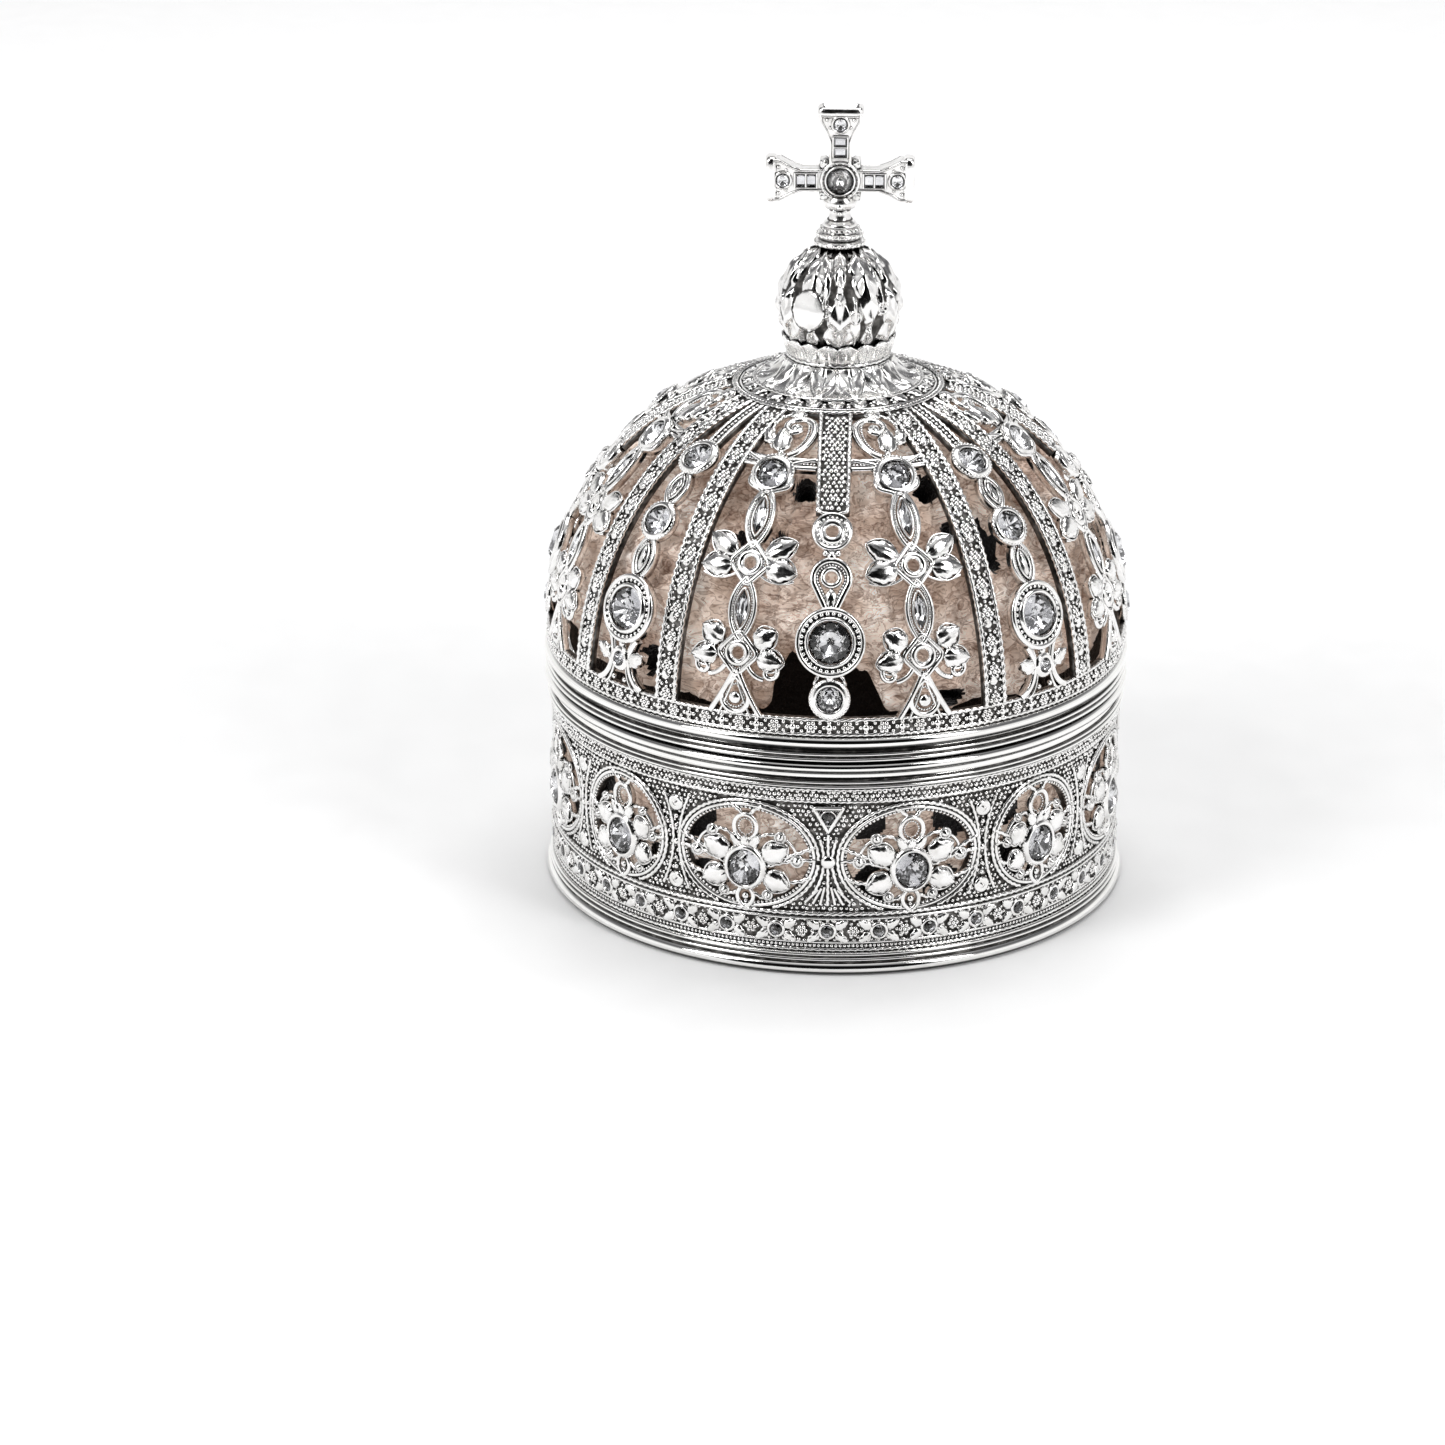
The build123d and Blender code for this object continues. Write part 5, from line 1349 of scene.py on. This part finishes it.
def make_orb(node, low, high):
    """Half of the hollow orb, chased with outlined leaves from above and below."""
    shape = Shape()
    rows, cols = 96, 560
    height = np.linspace(low, high, rows)[:, None]
    azimuth = (np.arange(cols) * 360 / cols)[None, :]
    relief = np.zeros((rows, cols))
    for k in range(6):
        relief = np.maximum(relief, acanthus(azimuth, height, k * 60 + 2, -70, 26, 27, 4))
        relief = np.maximum(relief, acanthus(azimuth, height, k * 60 + 32, 74, -14, 25, 4))
        relief = np.maximum(relief, 0.8 * acanthus(azimuth, height, k * 60 + 32, -60, -8, 15, 3))
        relief = np.maximum(relief, 0.8 * acanthus(azimuth, height, k * 60 + 2, 80, 22, 17, 3))
        relief = np.maximum(relief, 0.7 * acanthus(azimuth, height, k * 60 + 17, -40, 22, 9, 2))
        relief = np.maximum(relief, 0.7 * acanthus(azimuth, height, k * 60 + 47, 60, 4, 9, 2))
    for k in range(12):
        offset = (azimuth - k * 30 - 17 + 180) % 360 - 180
        ring = np.hypot(offset * np.cos(np.radians(height)), height - (6 if k % 2 else 0)) / 5.2
        relief = np.maximum(relief, 0.62 * np.exp(-(((ring - 1) / 0.3) ** 2)))
        relief = np.maximum(relief, 0.5 * np.exp(-((ring / 0.42) ** 2)))
    offset = (azimuth + 30 + 180) % 360 - 180
    panel = smooth((1 - np.hypot(offset / 19, (height - 5) / 21)) * 6)
    relief = relief * (1 - panel) + 0.6 * panel
    radius = ORB_R - 1.0 + relief * 0.9
    lift, a = np.radians(height), np.radians(azimuth)
    points = np.stack([
        radius * np.cos(lift) * np.sin(a),
        -radius * np.cos(lift) * np.cos(a),
        ORB_Z + radius * np.sin(lift),
    ], -1)
    faces = grid_faces(rows, cols, False, True)
    level = relief.reshape(-1)[faces].mean(1)
    rim = panel.reshape(-1)[faces].mean(1)
    dark = (level < 0.05) | ((rim > 0.08) & (rim < 0.5))
    shape.add(points, faces[~dark], 0)
    shape.add(points, faces[dark], 1)
    shape.build(f"vis_{node}", "lid", "silver_cast", [CHASED, DARK_SILVER], [node])


def make_neck_collar():
    shape = Shape()
    low = side_of("neck_collar", 0, 2)
    top = side_of("neck_collar", 1, 2)
    outline = rolls([(5.1, 1.1, low - 0.1, low + 1.5), (4.75, 0.9, low + 1.8, low + 3.0)], 9)
    outline += [(3.9, low + 3.3), (3.7, top)]
    turned(shape, [(1.7, low - 0.1)] + outline + [(1.7, top)], 0, 96)
    for r, z, count, size in ((4.95, low + 0.7, 22, 0.55), (4.6, low + 2.4, 22, 0.48), (3.95, low + 3.6, 24, 0.4)):
        a = np.arange(count) * 2 * pi / count * r
        beads(shape, on_wall(0, 0, r), a, z + 0 * a, size, 0, 0.0)
    shape.build("vis_neck_collar", "lid", "silver_cast", [SATIN_SILVER, DARK_SILVER, BRIGHT_SILVER], ["neck_collar"])


ARM_Z = 150.9
ARM_DEPTH = 2.2
ARM_PLAN = [(0.0, 2.3), (8.0, 2.3), (10.2, 3.1), (12.4, 4.3), (20.0, 4.4)]


def arm_half(y):
    """Half width of an arm at a distance from the crossing."""
    return np.interp(y, [k for k, _ in ARM_PLAN], [w for _, w in ARM_PLAN])


def arm(shape, axis, across, length):
    """Flat arm with bevelled edges, rails, a stone channel, a flared field and a thick lip."""
    axis, across = np.array(axis, float), np.array(across, float)
    centre = np.array([0, 0, ARM_Z])
    middle = upright(centre, across, axis)
    y = np.linspace(1.5, length - 1.4, 60)
    w = arm_half(y)[:, None]
    lean = np.array([1, 1, 1, -1, -1, -1, -1, 1])
    inset = np.array([0, 0, 0.3, 0.3, 0, 0, 0.3, 0.3])
    deep = np.array([-1.9, 1.9, 2.2, 2.2, 1.9, -1.9, -2.2, -2.2])
    patch(shape, middle(w * lean - inset * lean, y[:, None] + 0 * lean, deep + 0 * w), 0, wrap_cols=True, smooth=False)
    lip = [(-2.3, 0.6), (-2.15, 0.2), (-1.7, 0.02), (-1.2, 0.0), (-0.5, 0.06), (-0.12, 0.3), (0.0, 0.65), (-0.1, 0.95), (-0.6, 1.3), (-0.75, 2.0)]
    a = np.arange(64) * 2 * pi / 64
    f = (np.abs(np.cos(a)) ** 7 + np.abs(np.sin(a)) ** 7) ** (-1 / 7)
    rings = [middle((4.7 - cut) * f * np.cos(a), length + up + 0 * a, (2.6 - min(cut, 1.9)) * f * np.sin(a)) for up, cut in lip]
    patch(shape, np.array(rings), 2, wrap_cols=True)
    close_ends(shape, np.array(rings), 2)
    for face in (-1, 1):
        flat = upright(centre + np.cross(across, axis) * face * ARM_DEPTH, across * face, axis)
        y = np.linspace(3.0, length - 1.5, 50)
        w = arm_half(y)[:, None] - 0.45
        patch(shape, flat(w * np.array([-1, 1]), y[:, None] + np.zeros(2), 0.02 + 0 * w + np.zeros(2)), 2)
        for edge in (-1, 1):
            y = np.linspace(3.4, length - 1.5, 40)
            rail = np.stack([edge * (arm_half(y) - 0.3), y], -1)
            ribbon(shape, flat, rail, 0.6, -0.4, 0.4, 2, crown=0.3, step=0.4)
            ribbon(shape, flat, [(edge * 1.5, 4.9), (edge * 1.5, 9.1)], 0.34, -0.4, 0.5, 2, crown=0.15, step=0.6)
            beads(shape, flat, [edge * 2.75, edge * 2.1, edge * 0.9], [12.6, 11.0, 10.2], [0.42, 0.36, 0.3], 2, 0.1)
        for y in (4.75, 7.0, 9.25):
            ribbon(shape, flat, [(-1.6, y), (1.6, y)], 0.36, -0.4, 0.45, 2, crown=0.15, step=0.5)
        turned_on(shape, moved(flat, 0, 11.7), [(1.95, -0.5), (1.98, 0.25), (1.8, 0.5), (1.55, 0.5), (1.42, 0.25), (1.35, -0.4), (0.9, -0.7)], 2, 32)
        ribbon(shape, flat, [(-arm_half(13.6) + 0.5, length - 1.7), (arm_half(13.6) - 0.5, length - 1.7)], 0.4, -0.4, 0.5, 2, crown=0.15, step=0.5)


def make_cross():
    shape = Shape()
    side, up = (1, 0, 0), (0, 0, 1)
    arm(shape, up, side, CROSS_TOP - ARM_Z)
    arm(shape, side, (0, 0, -1), CROSS_HALF)
    arm(shape, (-1, 0, 0), up, CROSS_HALF)
    low = side_of("cross", 0, 2)
    stem = [(3.55, low), (3.6, low + 0.3), (3.3, low + 0.8), (2.7, low + 1.1), (2.3, low + 1.6), (2.15, low + 3.2)]
    stem += [(2.3, low + 3.9), (3.1, ARM_Z - 6.0), (3.5, ARM_Z - 5.2), (3.55, ARM_Z - 4.6), (3.2, ARM_Z - 3.8), (2.5, ARM_Z - 3.2), (2.5, ARM_Z - 1.0)]
    turned(shape, [(0.4, low)] + stem + [(0.4, ARM_Z - 1.0)], 0, 48)
    for z, r in ((low + 1.35, 2.5), (low + 3.5, 2.2), (ARM_Z - 3.5, 2.95)):
        turned(shape, [(r, z - 0.22), (r + 0.14, z), (r, z + 0.22), (r - 0.3, z)], 1, 48)
    for face in (-1, 1):
        place = upright((0, 0, ARM_Z), (-face, 0, 0), (0, 0, 1))
        turned_on(shape, place, [(4.15, 0.0), (4.2, 2.2), (4.05, 2.6), (3.7, 2.65), (3.5, 2.3)], 2, 48)
        turned_on(shape, place, [(3.55, 2.2), (3.1, 2.25)], 1, 48)
        turned_on(shape, place, [(3.25, 2.2), (3.2, 2.75), (3.05, 2.98), (2.85, 2.98), (2.78, 2.6), (2.6, 2.1), (0.5, 1.5)], 2, 48)
        count = 18
        b = np.arange(count) * 2 * pi / count
        beads(shape, place, 3.62 * np.cos(b), 3.62 * np.sin(b), 0.36, 2, 2.35)
        for k in range(4):
            turn = 45 + 90 * k
            out = moved(place, 3.4 * cos(radians(turn)), 3.4 * sin(radians(turn)), turn - 90)
            petal(shape, out, 2.4, 2.6, 0.7, 0.0, 1.3)
        lower = upright((0, 0, ARM_Z), (-face, 0, 0), (0, 0, 1))
        for x, z, r in ((0, -5.3, 0.8), (-1.5, -5.0, 0.55), (1.5, -5.0, 0.55), (0, -6.9, 0.55), (-1.1, -6.3, 0.42), (1.1, -6.3, 0.42)):
            beads(shape, lower, [x], [z], r, 2, sqrt(max(3.3**2 - x * x, 0)) - 0.25 if z > -6 else 2.6)
    shape.build("vis_cross", "lid", "silver_cast", [SATIN_SILVER, DARK_SILVER, BRIGHT_SILVER], ["cross"])


def baguette(shape, place, width, height, lift):
    w, h = width / 2, height / 2
    base = np.array([(-w, -h), (w, -h), (w, h), (-w, h)])
    rows = [(1.0, -0.15), (1.0, 0.1), (0.62, 0.35)]
    p = np.concatenate([base * k for k, _ in rows])
    z = np.concatenate([np.full(4, v) for _, v in rows]) + lift
    points = place(p[:, 0], p[:, 1], z)
    walls = [(i, (i + 1) % 4, 4 + (i + 1) % 4, 4 + i) for i in range(4)]
    slopes = [(4 + i, 4 + (i + 1) % 4, 8 + (i + 1) % 4, 8 + i) for i in range(4)]
    shape.add(points, walls + slopes + [(8, 9, 10, 11)], 0, False)
    shape.add(points, [(3, 2, 1, 0)], 1, False)


def make_cross_stones():
    shape = Shape()
    for face in (-1, 1):
        place = upright((0, 0, ARM_Z), (-face, 0, 0), (0, 0, 1))
        brilliant(shape, place, 2.7, 2.55, turn=9)
        for x, z in ((-5.9, 0), (-8.0, 0), (5.9, 0), (8.0, 0)):
            baguette(shape, moved(place, x, z), 1.75, 2.6, 2.42)
        for z in (5.9, 8.0):
            baguette(shape, moved(place, 0, z), 2.6, 1.75, 2.42)
        for x, z in ((-11.7, 0), (11.7, 0), (0, 11.7)):
            brilliant(shape, moved(place, x, z), 1.34, 2.5, turn=4, deep=0.3)
    shape.build("vis_cross_stones", "lid", "clear_stone", [GLASS, FOIL], ["cross_stones"])


def make_dome_stones():
    large, medium, small, pointed = Shape(), Shape(), Shape(), Shape()
    for i, quarter in enumerate(QUARTERS.values()):
        brilliant(large, rigid(on_dome(quarter), 0, 19.4), 4.3, 0.7, turn=7 * i)
        brilliant(large, rigid(on_dome(quarter + 45), 0, 19.8), 4.3, 0.7, turn=15 + 4 * i)
        brilliant(small, rigid(on_dome(quarter), 0, 8.0), 2.62, 0.35)
        brilliant(medium, rigid(on_dome(quarter + 45), 0, 54.2), 3.02, 0.55, turn=5)
        brilliant(medium, rigid(on_dome(quarter + 45), 0, 38.6), 3.02, 0.55, turn=12)
        for side in (-1, 1):
            place = on_dome(quarter + side * 18.2)
            brilliant(medium, rigid(place, 0, 53.9, 9), 3.08, 0.6, turn=side * 8)
            for low, high in ((37.4, 50.8), (18.6, 31.4)):
                marquise(pointed, rigid(place, 0, (low + high) / 2), (high - low) * 0.58, 2.4, 0.35)
        brilliant(small, rigid(on_dome(quarter + 45), 0, 9.4), 1.42, 0.5)
    for name, shape in (("large_stones", large), ("medium_stones", medium), ("small_stones", small), ("pointed_stones", pointed)):
        shape.build(f"vis_{name}", "lid", "clear_stone", [GLASS, FOIL], [name])


# --- Soft linings -------------------------------------------------------------------------
def folds(a, y, low_wave, high_wave, terms, seed):
    """Field of sharp creases that closes on itself round the axis; y is in millimetres."""
    draw = np.random.default_rng(seed)
    total = np.zeros(np.broadcast(a, y).shape)
    for _ in range(terms):
        wave = draw.uniform(low_wave, high_wave)
        turn = draw.uniform(0, 2 * pi)
        k = round(2 * pi * 52 / wave * cos(turn))
        total = total + np.sin(k * a + 2 * pi / wave * sin(turn) * y + draw.uniform(0, 2 * pi)) / sqrt(terms)
    return np.abs(total)


def covers(a, y, spots):
    """How far a point lies inside any of some soft-edged spots (azimuth, y, half sizes)."""
    best = np.full(np.broadcast(a, y).shape, -1.0)
    degrees_ = np.degrees(a)
    for azimuth, middle, half_a, half_y in spots:
        offset = (degrees_ - azimuth + 180) % 360 - 180
        best = np.maximum(best, 1 - np.hypot(offset / half_a, (y - middle) / half_y))
    return best


def mesh_area(points, faces):
    a, b, c, d = (points[faces[:, i]] for i in range(4))
    first = np.linalg.norm(np.cross(b - a, c - a), axis=1)
    return (first + np.linalg.norm(np.cross(c - a, d - a), axis=1)).sum() / 2


def make_dome_lining():
    """Silk bonnet gathered inside the dome, its hem caught up at the gem columns; black velvet in deep pits is painted
    shade for dark voids.
    """
    shape = Shape()
    rows, cols = 120, 640
    a = (np.arange(cols) * 2 * pi / cols)[None, :]
    v = np.linspace(0, 1, rows)[:, None]
    turn = np.degrees(a)
    hem = 3.0 + 0.5 * np.sin(9 * a) + 0.4 * np.sin(23 * a + 1)
    for quarter, centre, half in ((0, -0.6, 11.2), (90, 2.0, 9.6), (180, -2.0, 10.4), (270, 1.0, 11.0)):
        offset = (turn - quarter - centre + 180) % 360 - 180
        ragged = 1 + 0.05 * np.sin(0.9 * offset) + 0.04 * np.sin(2.3 * offset + 1)
        hem = hem + (12.4 - 0.35 * offset) * np.exp(-np.abs(offset / half) ** 9) * ragged
    top = float(np.interp(-9.0, -DOME_RADII, DOME_S))
    y = hem + (top - hem) * v
    radius, height, lean = meridian(y)
    deep = folds(a, y, 13, 30, 22, 5)
    fine = folds(a, y, 4.5, 9, 30, 9)
    edge = np.exp(-v * 26)
    tight = folds(a, y, 2.6, 5.5, 34, 15)
    inset = 2.3 + 2.0 * np.clip(deep, 0, 1.5) + 1.1 * fine + 0.6 * tight + 2.0 * edge
    # Painted shade: deep pits covered in black velvet stand in for dark voids behind the openwork.
    shade_pits = smooth(covers(a, y, DOME_SHADE_PITS) * 2.2)
    inset = inset + 4.5 * shade_pits
    reach = radius - inset * np.cos(lean)
    points = np.stack([reach * np.sin(a), -reach * np.cos(a), height - inset * np.sin(lean)], -1)
    faces = grid_faces(rows, cols, False, True)
    dark = shade_pits.reshape(-1)[faces].mean(1) > 0.1
    flat_points = points.reshape(-1, 3)
    shape.add(flat_points, faces[~dark], 0)
    shape.add(flat_points, faces[dark], 1)
    obj = shape.build("vis_dome_lining", "lid", "champagne_silk", [SILK, VELVET], ["dome_lining"])


# The first list: spots of painted shade in the dome lining, as (azimuth, height up the dome, half sizes).
DOME_SHADE_PITS = [
    (-8.6, 53.8, 4.4, 2.6), (28.6, 52.4, 4.8, 3.4), (36.0, 41.4, 7.6, 3.6), (40.5, 36.0, 3.0, 6.2),
    (-22.4, 40.0, 3.0, 2.8), (-13.6, 40.0, 2.6, 2.8), (25.5, 5.2, 4.4, 2.2), (-40.0, 10.0, 3.4, 3.6),
    (71.0, 51.0, 5.0, 3.0), (112.0, 36.0, 3.0, 4.0), (150.0, 48.0, 4.0, 3.0), (127.0, 9.0, 4.0, 3.0),
    (196.0, 50.0, 5.0, 2.6), (214.0, 37.0, 3.0, 4.6), (247.0, 44.0, 3.4, 3.4), (292.0, 51.0, 4.5, 2.6),
]
WALL_GAPS = [
    (-28.0, 31.5, 4.8, 6.0), (-25.5, 16.0, 5.4, 6.0), (7.6, 32.5, 4.4, 4.6), (8.6, 16.8, 4.4, 6.5),
    (26.0, 32.0, 5.2, 5.0), (23.6, 16.5, 4.6, 5.5), (38.0, 31.5, 4.6, 4.5), (38.6, 18.5, 6.0, 6.6),
    (-37.5, 17.0, 4.4, 5.6), (-54.0, 30.0, 4.0, 6.0),
]


def make_wall_lining():
    """Velvet wall of the box, dressed with crumpled silk that leaves dark gaps."""
    shape = Shape()
    draw = np.random.default_rng(21)
    gaps = list(WALL_GAPS)
    for azimuth in np.arange(62, 298, 9.5):
        gaps.append((azimuth + draw.uniform(-2, 2), draw.uniform(15, 19), draw.uniform(3, 5.2), draw.uniform(4, 6.5)))
        gaps.append((azimuth + draw.uniform(1, 6), draw.uniform(30, 33), draw.uniform(2.6, 4.8), draw.uniform(4, 6)))
    rows, cols = 56, 720
    a = (np.arange(cols) * 2 * pi / cols)[None, :]
    low, high = side_of("wall_lining", 0, 2), side_of("wall_lining", 1, 2)
    z = np.linspace(low, high, rows)[:, None] + 0 * a
    outer = side_of("wall_lining", 1, 0)
    gap = smooth(covers(a, z, gaps) * 5.0)
    crumple = 0.5 * folds(a, z, 7, 16, 20, 3) + 0.25 * folds(a, z, 3, 6, 20, 4)
    reach = outer - 0.02 - np.clip(crumple, 0, 0.8) * (1 - gap) - 0.86 * gap
    points = np.stack([reach * np.sin(a), -reach * np.cos(a), z], -1)
    faces = grid_faces(rows, cols, False, True)
    dark = gap.reshape(-1)[faces].mean(1) > 0.4
    flat_points = points.reshape(-1, 3)
    shape.add(flat_points, faces[~dark], 0)
    shape.add(flat_points, faces[dark], 1)
    inner = np.array([(outer - 0.9, low), (outer - 0.9, high)])
    turned(shape, [(outer - 0.1, high), (outer - 0.5, high + 0.0), (outer - 0.88, high - 0.3), (outer - 0.9, low)], 1, 192, False)
    obj = shape.build("vis_wall_lining", "box", "dark_velvet", [SILK, VELVET], ["wall_lining"])


def make_floor_pad():
    """Round velvet pad, crowned, with a rolled edge and shallow puckers."""
    shape = Shape()
    radius = side_of("floor_pad", 1, 0)
    low, high = side_of("floor_pad", 0, 2), side_of("floor_pad", 1, 2)
    thick = high - low
    a = (np.arange(256) * 2 * pi / 256)[None, :]
    rows = []
    for t in np.linspace(0.012, 1, 26):
        edge = sqrt(max(1 - max((t - 0.93) / 0.07, 0) ** 2, 0))
        wave = 0.16 * np.sin(31 * a + 3 * t) * smooth(np.array((t - 0.7) / 0.25))
        level = low + thick * (0.5 + 0.5 * edge) - 0.35 * t**2 - 0.17 + wave * edge
        rows.append(np.stack([t * radius * np.sin(a[0]), -t * radius * np.cos(a[0]), level[0]], -1))
    rows.append(np.stack([(radius - 0.3) * np.sin(a[0]), -(radius - 0.3) * np.cos(a[0]), 0 * a[0] + low + 0.6], -1))
    rows.append(np.stack([(radius - 1.2) * np.sin(a[0]), -(radius - 1.2) * np.cos(a[0]), 0 * a[0] + low], -1))
    rows.append(np.stack([1.0 * np.sin(a[0]), -1.0 * np.cos(a[0]), 0 * a[0] + low], -1))
    patch(shape, np.array(rows)[::-1], 0, wrap_cols=True)
    obj = shape.build("vis_floor_pad", "box", "dark_velvet", [VELVET], ["floor_pad"])


# --- Build --------------------------------------------------------------------------------
def chased_silver():
    """Orb silver with painted shade: bright on high leaves, dark where the metal sinks between them."""
    material, nodes, links, surface = new_material("silver_chased")
    tone = texture(nodes, links, "ShaderNodeTexNoise", 240.0)
    colour = ramp(nodes, links, tone.outputs["Fac"], SILVER_WHITE)
    # Painted shade in the hollows between the leaves.
    links.new(times(nodes, links, colour, painted_crevice_shade(nodes, links, 0.0014, 0.45, 0.85)), surface.inputs["Base Color"])
    links.new(spread(nodes, links, tone.outputs["Fac"], 0.06, 0.2), surface.inputs["Roughness"])
    surface.inputs["Metallic"].default_value = 1.0
    wave = texture(nodes, links, "ShaderNodeTexNoise", 1100.0, 3.0)
    links.new(bump(nodes, links, wave.outputs["Fac"], 0.25, 0.00012), surface.inputs["Normal"])
    return material


CHASED = chased_silver()

make_foot_ring()
make_lower_band()
make_upper_band()
make_box_rim()
for quarter_name, quarter_azimuth in QUARTERS.items():
    make_wall_panel(f"wall_panel_{quarter_name}", quarter_azimuth)
make_rosettes("rosettes", (-ROUNDEL_AZIMUTH, ROUNDEL_AZIMUTH), ROUNDEL_HALF)
make_rosettes("corner_rosettes", (45,), CORNER_HALF)
make_rosette_stones()
make_wall_stones()
make_lid_rim()
make_base_band()
for number, rib_azimuth in enumerate([q + s for q in QUARTERS.values() for s in (33, 57)], 1):
    make_rib(number, rib_azimuth)
for quarter_name, quarter_azimuth in QUARTERS.items():
    make_gem_column(quarter_name, quarter_azimuth)
for number, quarter_azimuth in enumerate(QUARTERS.values(), 1):
    make_corner_column(number, quarter_azimuth + 45)
for number, (quarter_azimuth, away) in enumerate([(q, s) for q in QUARTERS.values() for s in (-1, 1)], 1):
    make_cross_column(number, quarter_azimuth + away * 18.2, away)
make_crown_cap()
make_scroll_leaves()
make_dome_stones()
make_petal_collar()
make_orb("orb_lower", -80, 0)
make_orb("orb_upper", 0, 84)
make_neck_collar()
make_cross()
make_cross_stones()
make_dome_lining()
make_wall_lining()
make_floor_pad()

for node, material in (("floor_plate", SATIN_SILVER), ("lid_spigot", POLISHED), ("finial_stud", BRASS), ("finial_washer", BRASS), ("finial_nut", BRASS)):
    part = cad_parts[node]
    part.data.materials.clear()
    part.data.materials.append(material)
    {"floor_plate": "silver_polished", "lid_spigot": "silver_polished"}.get(node, "brass")

# --- Floor, light and camera --------------------------------------------------------------
scene = bpy.context.scene
floor_mesh = bpy.data.meshes.new("floor")
reach = 4.0
floor_mesh.from_pydata([(-reach, -reach, 0), (reach, -reach, 0), (reach, reach, 0), (-reach, reach, 0)], [], [(0, 1, 2, 3)])
floor = bpy.data.objects.new("floor", floor_mesh)
scene.collection.objects.link(floor)
floor_material, nodes, links, surface = new_material("floor_white")
paper = texture(nodes, links, "ShaderNodeTexNoise", 90.0)
links.new(ramp(nodes, links, paper.outputs["Fac"], [(0.3, (0.9, 0.9, 0.9)), (0.7, (0.94, 0.94, 0.94))]), surface.inputs["Base Color"])
surface.inputs["Roughness"].default_value = 0.85
surface.inputs["Specular IOR Level"].default_value = 0.1
# Painted light: the floor glows, weaker near the object and stronger farther off.
surface.inputs["Emission Color"].default_value = (1.0, 1.0, 1.0, 1.0)
coords = nodes.new("ShaderNodeTexCoord")
around_object = nodes.new("ShaderNodeMapping")
around_object.inputs["Scale"].default_value = (1.2, 1.2, 1.2)
links.new(coords.outputs["Object"], around_object.inputs["Vector"])
floor_glow_falloff = nodes.new("ShaderNodeTexGradient")
floor_glow_falloff.gradient_type = "SPHERICAL"
links.new(around_object.outputs["Vector"], floor_glow_falloff.inputs["Vector"])
links.new(spread(nodes, links, floor_glow_falloff.outputs["Fac"], 0.36, 0.1, 0.3, 0.8), surface.inputs["Emission Strength"])
floor_mesh.materials.append(floor_material)


def area_light(name, azimuth, elevation, distance, width, height, power):
    light = bpy.data.lights.new(name, "AREA")
    light.shape = "RECTANGLE"
    light.size, light.size_y = width, height
    light.energy = power
    lamp = bpy.data.objects.new(name, light)
    a, e = radians(azimuth), radians(elevation)
    away = Vector((sin(a) * cos(e), -cos(a) * cos(e), sin(e)))
    lamp.location = Vector((0, 0, 0.07)) + away * distance
    lamp.rotation_euler = away.to_track_quat("Z", "Y").to_euler()
    scene.collection.objects.link(lamp)


area_light("key_left", -52, 42, 1.1, 0.34, 0.6, 4.2)
area_light("key_right", 50, 38, 1.15, 0.3, 0.6, 3.4)
area_light("top", 165, 74, 1.2, 0.8, 0.6, 6.2)

world = bpy.data.worlds.new("studio")
scene.world = world
world.use_nodes = True
nodes, links = world.node_tree.nodes, world.node_tree.links
sky = nodes["Background"]
coords = nodes.new("ShaderNodeTexCoord")
split = nodes.new("ShaderNodeSeparateXYZ")
links.new(coords.outputs["Generated"], split.inputs["Vector"])
height_ramp = ramp(nodes, links, split.outputs["Z"], [(0.0, (1.0, 1.0, 1.0)), (0.3, (0.95, 0.95, 0.95)), (0.46, (0.3, 0.3, 0.305)), (0.66, (0.1, 0.1, 0.105)), (0.86, (0.25, 0.25, 0.255)), (1.0, (0.8, 0.8, 0.8))])
spot_at = nodes.new("ShaderNodeMapping")
spot_at.inputs["Location"].default_value = (0.0, 1.2, -0.53)
spot_at.inputs["Scale"].default_value = (1.25, 1.3, 1.6)
links.new(coords.outputs["Generated"], spot_at.inputs["Vector"])
spot = nodes.new("ShaderNodeTexGradient")
spot.gradient_type = "SPHERICAL"
links.new(spot_at.outputs["Vector"], spot.inputs["Vector"])
shade = ramp(nodes, links, spot.outputs["Fac"], [(0.0, (1.0, 1.0, 1.0)), (0.22, (0.012, 0.012, 0.012)), (1.0, (0.01, 0.01, 0.01))])
mix = nodes.new("ShaderNodeMix")
mix.data_type = "RGBA"
mix.blend_type = "MULTIPLY"
mix.inputs["Factor"].default_value = 1.0
links.new(height_ramp, mix.inputs[6])
links.new(shade, mix.inputs[7])
links.new(mix.outputs[2], sky.inputs["Color"])
sky.inputs["Strength"].default_value = 1.0

camera_data = bpy.data.cameras.new("camera")
camera_data.lens = 110.17
camera_data.sensor_width = 36.0
camera_data.clip_start, camera_data.clip_end = 0.01, 20.0
camera = bpy.data.objects.new("camera", camera_data)
camera.location = (0.01633, -0.8824, 0.3771)
camera.rotation_euler = (radians(90 - 21.40), 0.0, radians(2.624))
scene.collection.objects.link(camera)
scene.camera = camera
scene.view_settings.view_transform = "Standard"
